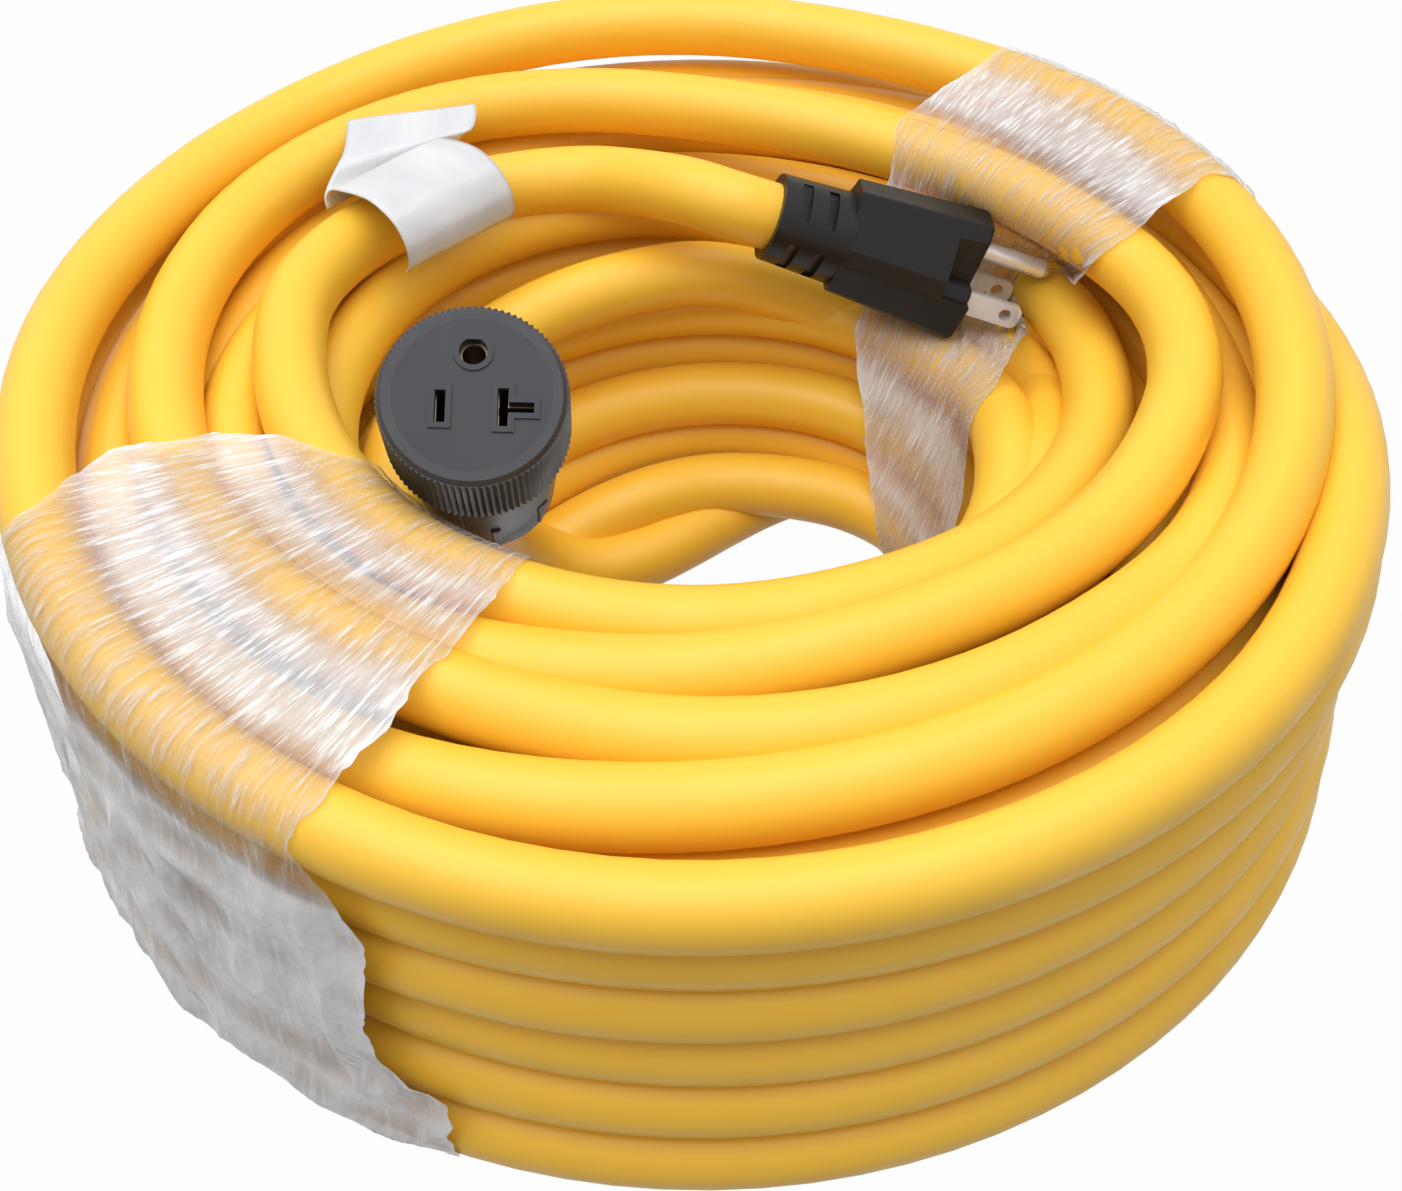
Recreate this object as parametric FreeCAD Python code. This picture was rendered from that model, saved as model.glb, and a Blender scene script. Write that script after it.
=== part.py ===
"""Shore power cord: a coiled three-wire cord with a moulded plug and a moulded connector.

Frame: millimetres, +Z up, the coil stands on z = 0 and the origin is on its axis.
+Y is the side where the plug lies, and the connector's face leans towards -Y.
"""
import FreeCAD, Part
import math
import os
from FreeCAD import Vector

# Cord
CORD_DIAMETER = 16.8
CORD_RADIUS = CORD_DIAMETER / 2
WIRE_RADIUS = 2.6
COPPER_RADIUS = 1.5
WIRE_OFFSET = 3.15
WIRE_CLEARANCE = 0.1

# Coil: the outer layer of turns winds over a plain core that stands for the hidden turns
TURN_PITCH = CORD_DIAMETER + 0.7
LAYER_PITCH = CORD_DIAMETER + 0.5
FLOOR_PITCH = CORD_DIAMETER + 1.4
LAYERS = 6
WALL_RADIUS = 148.0
TOP_INNER_RADIUS = 85.2
START_WIDENING = 8.5
FOOT_FLAT = 0.5

# Where the coil's stages start, in degrees of azimuth counted on through all the turns
FIRST_AZIMUTH = 150
INNER_TURN_AZIMUTH = 270
DROP_LEAD = 23
DROP_LENGTH = 120
WALL_AZIMUTH = round(INNER_TURN_AZIMUTH + 360 * (WALL_RADIUS - TOP_INNER_RADIUS) / TURN_PITCH)
DROP_START = WALL_AZIMUTH - DROP_LEAD
INWARD_START = DROP_START + 360 * (LAYERS - 2) + 100
FLOOR_INNER_RADIUS = 68.0
FLOOR_TURNS = (WALL_RADIUS - FLOOR_INNER_RADIUS) / FLOOR_PITCH
END_AZIMUTH = 332
LAST_AZIMUTH = END_AZIMUTH + 360 * int((INWARD_START - END_AZIMUTH) / 360 + FLOOR_TURNS)
END_RISE_SPAN = 180
END_INWARD_SPAN = 75
END_INWARD_RATE = 5.5
STATION_STEP = 45

# The innermost turn sags into the coil
DIP_START = 225
DIP_LENGTH = 480
DIP_DEPTH = 50.0
DIP_OUTWARD = 20.0

# Core, with a step that clears the sagging turn
CORE_GAP = 0.35
CORE_STEP_GAP = 1.1
CORE_STEP_DROP = 0.5
CORE_PAST_FLOOR = 2.0
FLOOR_Z = CORD_RADIUS - FOOT_FLAT
TOP_Z = FLOOR_Z + (LAYERS - 1) * LAYER_PITCH
DIP_MIDDLE = DIP_START + DIP_LENGTH / 2
DIP_RADIUS = TOP_INNER_RADIUS + TURN_PITCH * (DIP_MIDDLE - INNER_TURN_AZIMUTH) / 360 + DIP_OUTWARD
CORE_INNER_RADIUS = FLOOR_INNER_RADIUS + CORE_PAST_FLOOR
CORE_STEP_RADIUS = round(DIP_RADIUS + CORD_RADIUS + CORE_STEP_GAP, 1)
CORE_STEP_Z = TOP_Z - DIP_DEPTH - CORD_RADIUS - CORE_STEP_DROP

# Plug: parallel blades and a round ground pin
BLADE_SPACING = 12.7
BLADE_WIDTH = 6.35
BLADE_THICKNESS = 1.52
BLADE_LENGTH = 15.9
BLADE_HOLE_RADIUS = 1.6
BLADE_HOLE_AT = 11.8
BLADE_TIP_ROUND = 2.2
GROUND_OFFSET = 11.89
GROUND_PIN_RADIUS = 2.375
GROUND_PIN_LENGTH = 19.6
GROUND_PIN_POINT = 1.6
GROUND_ROOT_STEP = 0.425
GROUND_ROOT_RADIUS = GROUND_PIN_RADIUS + GROUND_ROOT_STEP
BLADE_LINE = -3.0
PLUG_LENGTH = 53.0
PLUG_STEP = 45.0
SLEEVE_LENGTH = 18.0
SLEEVE_END_RADIUS = CORD_RADIUS + 2.5
SLEEVE_ROOT_RADIUS = CORD_RADIUS + 3.4
SLEEVE_SLOT_RINGS = (5.6, 12.4)
SLEEVE_SLOT_TURN = 32
SLOT_CHORD = 11.0
SLOT_HEIGHT = 2.6
NOSE_HALF = 6.6
BOSS_RADIUS = 5.4
EDGE_ROUND = 0.8
HOLDER_DEPTH = 14.0
HOLDER_WIDTH = 9.2
HOLDER_LENGTH = 20.8
HOLDER_ROUND = 2.0

# One half of the plug's outline at the face: towards the ground pin, sideways
PLUG_OUTLINE = [(-12.5, 10.2), (-11.2, 11.8), (-2.0, 13.8), (3.3, 13.0), (13.4, 6.8), (17.6, 4.4)]
PLUG_OUTLINE_CENTRE = 1.0
PLUG_START_SCALE = 0.86

PLUG_MOUTH = Vector(17.3, 60.0, 92.5)
PLUG_AXIS = Vector(0.9352, 0.0, -0.3541)
PLUG_UP = Vector(0.351, 0.1305, 0.927)

# Crimps that join wires to blades and contacts
CRIMP_RADIUS = 2.3
CRIMP_LENGTH = 6.0
CRIMP_FLOOR = 1.0
WIRE_LEAD_IN = 6.0
WIRE_LEAD_OUT = 8.0

# Connector: round knurled body with a ground hole, a straight slot and a T slot
FACE_RADIUS = 19.8
FACE_CHAMFER = 1.2
CONNECTOR_LENGTH = 70.0
KNURL_LENGTH = 20.4
KNURL_RIBS = 88
KNURL_DEPTH = 0.6
COLLAR_END = 57.0
COLLAR_TOP_RADIUS = 17.9
COLLAR_FOOT_RADIUS = 15.2
NECK_RADIUS = CORD_RADIUS + 2.4
NECK_SLOT_WIDTH = 8.0
NECK_SLOT_LOW = 3.0
NECK_SLOT_HIGH = 6.0
FACE_CENTRE = Vector(-46.2, -43.1, 120.5)
FACE_AXIS = Vector(0.0457, -0.4984, 0.8657)
FACE_UP = Vector(0.0072, 0.8668, 0.4987)
FACE_BLADE_LINE = -2.74
CARRIER_RADIUS = 16.4
CARRIER_DEPTH = 26.0
HOT_SLOT_LENGTH = 6.9
NEUTRAL_SLOT_LENGTH = 8.1
SLOT_WIDTH = 2.2
T_REACH = 6.3
LIP_WIDTH = 1.2
LIP_HEIGHT = 0.4
GROUND_HOLE_RADIUS = GROUND_PIN_RADIUS + 0.525
GROUND_HOLE_FLAT = GROUND_PIN_RADIUS + 0.225
SOCKET_CLEARANCE = 0.055
SOCKET_RADIUS = GROUND_PIN_RADIUS + SOCKET_CLEARANCE
SOCKET_WALL = 0.8
SOCKET_TOP = 2.5
SOCKET_LENGTH = 15.0
SOCKET_SPLIT = 1.0
LEAF = 0.8
LEAF_AT = 1.3
LEAF_ROOM = 6.0
BRIDGE = 1.2

# Label and stretch film
SKIN = 0.4
SKIN_GAP = 0.3
TAG_FLAG = 24.0
FILM_RECESS = 0.45
FILM_CORNER = 8.7
FILM_FOOT_CORNER = 2.8
FRONT_FILM = (188, 245)
BACK_FILM = (20, 65)
FRONT_FILM_EDGES = (84.0, 84.8)
BACK_FILM_EDGES = (98.0, 84.8)

# Corners of the two free leads, after a first run in line with the coil's end
PLUG_LEAD_FIRST = 18.8
PLUG_LEAD = [
    Vector(-39.7, 83.6, 96.0),
    Vector(-20.3, 75.4, 99.6),
]
PLUG_LEAD_LAST = 22.0
CONNECTOR_LEAD_FIRST = 14.2
CONNECTOR_LEAD = [
    Vector(60.3, 26.5, 8.4),
    Vector(46.1, 45.0, 8.4),
    Vector(25.0, 51.0, 8.4),
    Vector(3.1, 42.8, 8.4),
    Vector(-12.6, 36.2, 8.4),
    Vector(-28.5, 29.7, 8.4),
    Vector(-41.3, 21.1, 16.2),
]
CONNECTOR_LEAD_LAST = 27.2
CORNER_SHARE = 0.45

os.makedirs("parts", exist_ok=True)


def export(name, shape):
    solids = shape.Solids
    if len(solids) != 1 or not shape.isValid():
        print("CHECK", name, "solids", len(solids), "valid", shape.isValid())
    solids[0].exportStep(f"parts/{name}.step")


def polar(radius, azimuth, height):
    angle = math.radians(azimuth)
    return Vector(radius * math.cos(angle), radius * math.sin(angle), height)


def ease(value):
    value = min(1.0, max(0.0, value))
    return value * value * (3 - 2 * value)


def line(start, end):
    return Part.LineSegment(start, end).toShape()


def box(x_size, y_size, z_low, z_high, x=0.0, y=0.0):
    """A box centred on x and y, from z_low to z_high."""
    corner = Vector(x - x_size / 2, y - y_size / 2, z_low)
    return Part.makeBox(x_size, y_size, z_high - z_low, corner)


def rod(radius, z_low, z_high, x=0.0, y=0.0):
    return Part.makeCylinder(radius, z_high - z_low, Vector(x, y, z_low))


def taper(low_radius, high_radius, z_low, z_high, x=0.0, y=0.0):
    return Part.makeCone(low_radius, high_radius, z_high - z_low, Vector(x, y, z_low))


def place(shape, origin, x_way, z_way):
    """Moves a shape from its own frame to the coil's frame."""
    z_axis = Vector(z_way).normalize()
    y_axis = z_axis.cross(x_way).normalize()
    x_axis = y_axis.cross(z_axis)
    matrix = FreeCAD.Matrix(
        x_axis.x, y_axis.x, z_axis.x, origin.x,
        x_axis.y, y_axis.y, z_axis.y, origin.y,
        x_axis.z, y_axis.z, z_axis.z, origin.z,
        0, 0, 0, 1,
    )
    moved = shape.copy()
    moved.transformShape(matrix)
    return moved


def arc_edge(start, corner, end):
    """The arc from start to end whose end tangents meet at corner."""
    foot = (start + end) * 0.5
    half = (end - start).Length / 2
    rise = (corner - foot).Length
    if rise < 1e-5:
        return line(start, end)
    turn = math.atan2(rise, half)
    crown = foot + (corner - foot) * (half * math.tan(turn / 2) / rise)
    return Part.Arc(start, crown, end).toShape()


def biarc(start, start_way, end, end_way):
    """Two tangent arcs from start to end, as edges."""
    chord = end - start
    both = start_way + end_way
    share = 4 - both.dot(both)
    along = chord.dot(both)
    if share < 1e-9:
        reach = chord.dot(chord) / (2 * along)
    else:
        reach = (math.sqrt(along * along + share * chord.dot(chord)) - along) / share
    first = start + start_way * reach
    second = end - end_way * reach
    middle = (first + second) * 0.5
    return [arc_edge(start, first, middle), arc_edge(middle, second, end)]


def route_edges(points):
    """Straight runs joined by tangent arcs, and the radii of those arcs."""
    edges = []
    radii = []
    at = points[0]
    for before, corner, after in zip(points, points[1:], points[2:]):
        back = (before - corner).normalize()
        ahead = (after - corner).normalize()
        cut = CORNER_SHARE * min((before - corner).Length, (after - corner).Length)
        half_turn = (math.pi - back.getAngle(ahead)) / 2
        radii.append(cut / math.tan(half_turn))
        enter = corner + back * cut
        leave = corner + ahead * cut
        edges.append(line(at, enter))
        edges.append(arc_edge(enter, corner, leave))
        at = leave
    edges.append(line(at, points[-1]))
    return edges, radii


def sweep_circle(edges, radius):
    start = edges[0].Vertexes[0].Point
    way = edges[0].tangentAt(edges[0].FirstParameter)
    ring = Part.Wire([Part.Circle(start, way, radius).toShape()])
    return Part.Wire(edges).makePipeShell([ring], True, False)


def report_tube(name, tube, edges, radii):
    length = sum(edge.Length for edge in edges)
    ratio = tube.Volume / (math.pi * CORD_RADIUS ** 2 * length)
    print(f"{name}: length {length:.1f}, volume over section x length {ratio:.4f}")
    if radii:
        print(f"{name}: bend radii", [round(radius, 1) for radius in radii])


def cell_of(point, size):
    return math.floor(point.x / size), math.floor(point.y / size), math.floor(point.z / size)


def least_gap(edges, step=3.0):
    """Least clear distance of a tube to itself, measured on points of its path."""
    points = []
    for edge in edges:
        count = max(1, round(edge.Length / step))
        for index in range(count):
            along = edge.Length * index / count
            points.append(edge.valueAt(edge.getParameterByLength(along)))
    skip = round(4 * CORD_DIAMETER / step)
    size = 2 * CORD_DIAMETER
    cells = {}
    for index, point in enumerate(points):
        cells.setdefault(cell_of(point, size), []).append(index)
    best = 1e9
    for index, point in enumerate(points):
        column, row, level = cell_of(point, size)
        for i in (-1, 0, 1):
            for j in (-1, 0, 1):
                for k in (-1, 0, 1):
                    for other in cells.get((column + i, row + j, level + k), ()):
                        if other - index > skip:
                            best = min(best, (points[other] - point).Length)
    return best - CORD_DIAMETER


# Coil turns: one tube, round the top, down the outer wall and in again on the floor


def station(azimuth):
    """Radius and height of the wound cord at an azimuth counted on through all the turns."""
    if azimuth < DROP_START + DROP_LENGTH:
        radius = TOP_INNER_RADIUS + TURN_PITCH * (azimuth - INNER_TURN_AZIMUTH) / 360
        early = max(0, INNER_TURN_AZIMUTH - azimuth) / (INNER_TURN_AZIMUTH - FIRST_AZIMUTH)
        radius = min(WALL_RADIUS, radius + START_WIDENING * early ** 2)
    else:
        radius = WALL_RADIUS - FLOOR_PITCH * max(0, azimuth - INWARD_START) / 360
    height = TOP_Z
    for level in range(LAYERS - 1):
        height -= LAYER_PITCH * ease((azimuth - DROP_START - 360 * level) / DROP_LENGTH)
    if DIP_START < azimuth < DIP_START + DIP_LENGTH:
        dip = math.sin(math.pi * (azimuth - DIP_START) / DIP_LENGTH) ** 2
        height -= DIP_DEPTH * dip
        radius += DIP_OUTWARD * dip * dip
    height += FOOT_FLAT * ease((azimuth - LAST_AZIMUTH + END_RISE_SPAN) / END_RISE_SPAN)
    inward = math.radians(max(0, azimuth - LAST_AZIMUTH + END_INWARD_SPAN))
    return radius - END_INWARD_RATE * inward * inward, height


def coil_edges():
    """The coil's path, and the ways in which it leaves at its start and its end."""
    azimuths = [FIRST_AZIMUTH]
    azimuths += range(FIRST_AZIMUTH + STATION_STEP, LAST_AZIMUTH - 40, STATION_STEP)
    azimuths.append(LAST_AZIMUTH)
    points = []
    ways = []
    for azimuth in azimuths:
        radius, height = station(azimuth)
        points.append(polar(radius, azimuth, height))
        radius, height = station(azimuth + 1)
        ahead = polar(radius, azimuth + 1, height)
        radius, height = station(azimuth - 1)
        behind = polar(radius, azimuth - 1, height)
        ways.append((ahead - behind).normalize())
    edges = [line(points[0] - ways[0] * CORD_DIAMETER, points[0])]
    for index in range(len(points) - 1):
        edges += biarc(points[index], ways[index], points[index + 1], ways[index + 1])
    edges.append(line(points[-1], points[-1] + ways[-1] * CORD_DIAMETER))
    return edges, ways[0] * -1, ways[-1]


def film_room(azimuths):
    """Room under the coil for the foot of a film, one degree wider than the film."""
    ring = rod(WALL_RADIUS + 2 * CORD_RADIUS, -1, FILM_RECESS)
    ring = ring.cut(rod(CORE_INNER_RADIUS / 2, -1, FILM_RECESS))
    reach = 2 * WALL_RADIUS
    corners = [polar(reach, azimuth, -1) for azimuth in (azimuths[0] - 1, azimuths[1] + 1)]
    wedge = Part.makePolygon([Vector(0, 0, -1)] + corners + [Vector(0, 0, -1)])
    return ring.common(Part.Face(wedge).extrude(Vector(0, 0, 1 + FILM_RECESS)))


coil_path, start_way, end_way = coil_edges()
coil_start = coil_path[0].firstVertex().Point
coil_end = coil_path[-1].lastVertex().Point
coil_turns = sweep_circle(coil_path, CORD_RADIUS)
report_tube("coil_turns", coil_turns, coil_path, [])
print("coil_turns: least gap to itself", round(least_gap(coil_path), 2))
floor_cut = box(3 * WALL_RADIUS, 3 * WALL_RADIUS, -CORD_DIAMETER, 0)
floor_cut = floor_cut.fuse([film_room(FRONT_FILM), film_room(BACK_FILM)])
export("coil_turns", coil_turns.cut(floor_cut))

core_high = TOP_Z - CORD_RADIUS - CORE_GAP
coil_core = rod(WALL_RADIUS - CORD_RADIUS - CORE_GAP, CORD_DIAMETER + CORE_GAP, core_high)
coil_core = coil_core.cut(rod(CORE_STEP_RADIUS, CORE_STEP_Z, core_high + 1))
coil_core = coil_core.cut(rod(CORE_INNER_RADIUS, 0, core_high))
export("coil_core", coil_core)

# Free leads

plug_lead_points = [coil_start, coil_start + start_way * PLUG_LEAD_FIRST]
plug_lead_points += PLUG_LEAD + [PLUG_MOUTH - PLUG_AXIS * PLUG_LEAD_LAST, PLUG_MOUTH]
plug_lead_path, plug_lead_radii = route_edges(plug_lead_points)
plug_lead = sweep_circle(plug_lead_path, CORD_RADIUS)
report_tube("plug_lead", plug_lead, plug_lead_path, plug_lead_radii)
export("plug_lead", plug_lead)

neck_end = FACE_CENTRE - FACE_AXIS * CONNECTOR_LENGTH
connector_lead_points = [coil_end, coil_end + end_way * CONNECTOR_LEAD_FIRST]
connector_lead_points += CONNECTOR_LEAD + [neck_end - FACE_AXIS * CONNECTOR_LEAD_LAST, neck_end]
connector_lead_path, connector_lead_radii = route_edges(connector_lead_points)
connector_lead = sweep_circle(connector_lead_path, CORD_RADIUS)
report_tube("connector_lead", connector_lead, connector_lead_path, connector_lead_radii)
export("connector_lead", connector_lead)

# Wires inside the two mouldings: from the stripped cord to a blade or a contact


def wire_parts(prefix, origin, x_way, z_way, targets, crimp_z):
    """Exports the insulation and bare end of each wire; returns the room they take."""
    rooms = []
    for colour, (wire_x, wire_y, end_x, end_y) in targets.items():
        corners = [
            Vector(wire_x, wire_y, 0),
            Vector(wire_x, wire_y, WIRE_LEAD_IN),
            Vector(end_x, end_y, crimp_z - WIRE_LEAD_OUT),
        ]
        jacket_path, _ = route_edges(corners + [Vector(end_x, end_y, crimp_z)])
        copper_path, _ = route_edges(corners + [Vector(end_x, end_y, crimp_z + CRIMP_LENGTH)])
        room = sweep_circle(jacket_path, WIRE_RADIUS)
        jacket = room.cut(sweep_circle(jacket_path, COPPER_RADIUS + WIRE_CLEARANCE))
        copper = sweep_circle(copper_path, COPPER_RADIUS)
        export(f"{prefix}_{colour}_insulation", place(jacket, origin, x_way, z_way))
        export(f"{prefix}_{colour}_copper", place(copper, origin, x_way, z_way))
        rooms.append(room)
    return rooms


def crimp(x, y, z_low):
    """The barrel that holds a bare wire end, with a floor where the blade or contact starts."""
    barrel = rod(CRIMP_RADIUS, z_low, z_low + CRIMP_LENGTH + CRIMP_FLOOR, x, y)
    return barrel.cut(rod(COPPER_RADIUS + WIRE_CLEARANCE, z_low, z_low + CRIMP_LENGTH, x, y))


# Plug, in its own frame: +Z out of the sleeve to the blade face, +X towards the ground pin

holder_low = PLUG_LENGTH - HOLDER_DEPTH
ground_x = BLADE_LINE + GROUND_OFFSET
blade_y = BLADE_SPACING / 2
blade_tip = PLUG_LENGTH + BLADE_LENGTH
plug_crimp_z = holder_low - CRIMP_LENGTH - CRIMP_FLOOR


def body_section(scale, z):
    outline = PLUG_OUTLINE + [(x, -y) for x, y in reversed(PLUG_OUTLINE)]
    corners = []
    for x, y in outline:
        x = PLUG_OUTLINE_CENTRE + scale * (x - PLUG_OUTLINE_CENTRE)
        corners.append(Vector(x, scale * y, z))
    return Part.makePolygon(corners + corners[:1])


start_section = body_section(PLUG_START_SCALE, SLEEVE_LENGTH)
body = Part.makeLoft([start_section, body_section(1.0, PLUG_LENGTH)], True, True)
for side in (-1, 1):
    recess = box(24, 12, PLUG_STEP, PLUG_LENGTH + 1, 11, side * (NOSE_HALF + 6))
    body = body.cut(recess)
round_edges = []
for edge in body.Edges:
    if edge.BoundBox.ZLength > 20 or edge.BoundBox.ZMin > PLUG_LENGTH - 0.1:
        round_edges.append(edge)
body = body.makeFillet(EDGE_ROUND, round_edges)
for side in (-1, 1):
    boss = rod(BOSS_RADIUS, PLUG_STEP - 1, PLUG_LENGTH - 0.6, BLADE_LINE, side * blade_y)
    body = body.fuse(boss)
plug_overmould = taper(SLEEVE_END_RADIUS, SLEEVE_ROOT_RADIUS, 0, SLEEVE_LENGTH + 1).fuse(body)
for ring in SLEEVE_SLOT_RINGS:
    for quarter in range(4):
        low = ring - SLOT_HEIGHT / 2
        slot = box(SLOT_CHORD, 8, low, low + SLOT_HEIGHT, 0, SLEEVE_END_RADIUS + 2.4)
        slot.rotate(Vector(), Vector(0, 0, 1), 90 * quarter + SLEEVE_SLOT_TURN)
        plug_overmould = plug_overmould.cut(slot)

holder = box(HOLDER_WIDTH, HOLDER_LENGTH, holder_low, PLUG_LENGTH, BLADE_LINE)
holder_edges = [edge for edge in holder.Edges if edge.BoundBox.ZLength > 1]
holder = holder.makeFillet(HOLDER_ROUND, holder_edges)
plug_overmould = plug_overmould.cut(holder)

plug_wires = {
    "black": (-1.6, WIRE_OFFSET - 0.4, BLADE_LINE, blade_y),
    "white": (-1.6, 0.4 - WIRE_OFFSET, BLADE_LINE, -blade_y),
    "green": (WIRE_OFFSET, 0, ground_x, 0),
}
plug_overmould = plug_overmould.cut(
    wire_parts("plug", PLUG_MOUTH, PLUG_UP, PLUG_AXIS, plug_wires, plug_crimp_z)
)

for name, y in (("plug_hot_blade", blade_y), ("plug_neutral_blade", -blade_y)):
    blade = box(BLADE_WIDTH, BLADE_THICKNESS, holder_low, blade_tip, BLADE_LINE, y)
    holder = holder.cut(blade)
    tip_edges = []
    for edge in blade.Edges:
        if edge.BoundBox.ZMin > blade_tip - 0.1 and edge.BoundBox.YLength > 1:
            tip_edges.append(edge)
    blade = blade.makeFillet(BLADE_TIP_ROUND, tip_edges)
    hole_start = Vector(BLADE_LINE, y - BLADE_THICKNESS, PLUG_LENGTH + BLADE_HOLE_AT)
    blade = blade.cut(Part.makeCylinder(
        BLADE_HOLE_RADIUS, 2 * BLADE_THICKNESS, hole_start, Vector(0, 1, 0)
    ))
    blade = blade.fuse(crimp(BLADE_LINE, y, plug_crimp_z))
    plug_overmould = plug_overmould.cut(rod(CRIMP_RADIUS, plug_crimp_z, holder_low, BLADE_LINE, y))
    export(name, place(blade, PLUG_MOUTH, PLUG_UP, PLUG_AXIS))

pin_shoulder = PLUG_LENGTH + GROUND_PIN_LENGTH - GROUND_PIN_POINT
pin = rod(GROUND_ROOT_RADIUS, holder_low, PLUG_LENGTH, ground_x)
pin = pin.fuse(crimp(ground_x, 0, plug_crimp_z))
pin = pin.fuse(rod(GROUND_PIN_RADIUS, holder_low, pin_shoulder, ground_x))
pin_room = rod(GROUND_ROOT_RADIUS, holder_low, PLUG_LENGTH, ground_x)
pin_room = pin_room.fuse(rod(CRIMP_RADIUS, plug_crimp_z, holder_low, ground_x))
plug_overmould = plug_overmould.cut(pin_room)
pin_point = taper(
    GROUND_PIN_RADIUS, GROUND_PIN_RADIUS / 2, pin_shoulder, pin_shoulder + GROUND_PIN_POINT, ground_x
)
pin = pin.fuse(pin_point)
export("plug_ground_pin", place(pin, PLUG_MOUTH, PLUG_UP, PLUG_AXIS))
export("plug_blade_holder", place(holder, PLUG_MOUTH, PLUG_UP, PLUG_AXIS))
export("plug_overmould", place(plug_overmould, PLUG_MOUTH, PLUG_UP, PLUG_AXIS))

# Connector, in its own frame: +Z out of the face, +Y towards the ground hole, the face at z = 0

face_right = FACE_UP.cross(FACE_AXIS)
ribs = []
for index in range(2 * KNURL_RIBS):
    radius = FACE_RADIUS if index % 2 == 0 else FACE_RADIUS - KNURL_DEPTH
    ribs.append(polar(radius, 180 * index / KNURL_RIBS, -KNURL_LENGTH))
knurl = Part.Face(Part.makePolygon(ribs + ribs[:1]))
knurl = knurl.extrude(Vector(0, 0, KNURL_LENGTH - FACE_CHAMFER))
chamfer_foot = FACE_RADIUS - KNURL_DEPTH
connector_overmould = knurl.fuse([
    taper(chamfer_foot, chamfer_foot - 0.8, -FACE_CHAMFER, 0),
    taper(COLLAR_FOOT_RADIUS, COLLAR_TOP_RADIUS, -COLLAR_END, -KNURL_LENGTH),
    taper(NECK_RADIUS, COLLAR_FOOT_RADIUS, -COLLAR_END - 1.5, -COLLAR_END),
    rod(NECK_RADIUS, -CONNECTOR_LENGTH, -COLLAR_END),
])
for turn in (0, 90, 180, 270):
    low = NECK_SLOT_LOW - CONNECTOR_LENGTH
    high = NECK_SLOT_HIGH - CONNECTOR_LENGTH
    slot = box(NECK_SLOT_WIDTH, 8, low, high, 0, NECK_RADIUS + 2.2)
    slot.rotate(Vector(), Vector(0, 0, 1), turn)
    connector_overmould = connector_overmould.cut(slot)
carrier = rod(CARRIER_RADIUS, -CARRIER_DEPTH, 0)
connector_overmould = connector_overmould.cut(carrier)

socket_y = FACE_BLADE_LINE + GROUND_OFFSET
contact_low = -CARRIER_DEPTH
crimp_low = contact_low - CRIMP_LENGTH - CRIMP_FLOOR
connector_wires = {
    "black": (0.4 - WIRE_OFFSET, -1.6, -blade_y, FACE_BLADE_LINE),
    "white": (WIRE_OFFSET - 0.4, -1.6, blade_y, FACE_BLADE_LINE),
    "green": (0, WIRE_OFFSET, 0, socket_y),
}
for room in wire_parts(
    "connector", neck_end, face_right, FACE_AXIS, connector_wires, CONNECTOR_LENGTH + crimp_low
):
    room.translate(Vector(0, 0, -CONNECTOR_LENGTH))
    connector_overmould = connector_overmould.cut(room)
for x, y in ((-blade_y, FACE_BLADE_LINE), (blade_y, FACE_BLADE_LINE), (0, socket_y)):
    connector_overmould = connector_overmould.cut(rod(CRIMP_RADIUS, crimp_low, contact_low, x, y))

t_middle = blade_y + T_REACH / 2
wing_middle = t_middle + LEAF_AT - 0.3


def leaf_contact(x, length, wing):
    """Two leaves that grip a blade from both sides, on a bridge with the crimp behind it."""
    pieces = [crimp(x, FACE_BLADE_LINE, crimp_low)]
    for side in (-LEAF_AT, LEAF_AT):
        pieces.append(box(LEAF, length, contact_low, -SOCKET_TOP, x + side, FACE_BLADE_LINE))
        if wing:
            pieces.append(box(
                T_REACH, LEAF, contact_low, -SOCKET_TOP, wing_middle, FACE_BLADE_LINE + side
            ))
    contact = box(LEAF_ROOM, length, contact_low, contact_low + BRIDGE, x, FACE_BLADE_LINE)
    contact = contact.fuse(pieces)
    if wing:
        gap = 2 * LEAF_AT - LEAF
        mouth = box(T_REACH + 2, gap, contact_low + BRIDGE, 0, x + T_REACH / 2, FACE_BLADE_LINE)
        contact = contact.cut(mouth)
    return contact


def raised_box(x_size, y_size, x):
    size = (x_size + 2 * LIP_WIDTH, y_size + 2 * LIP_WIDTH)
    return box(*size, -1, LIP_HEIGHT, x, FACE_BLADE_LINE)


def flat_topped(radius, flat, z_low, z_high):
    """A ground hole's D shape: a round rod with a flat towards the face's rim."""
    shape = rod(radius, z_low, z_high, 0, socket_y)
    return shape.cut(box(4 * radius, 2 * radius, z_low, z_high, 0, socket_y + flat + radius))


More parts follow.
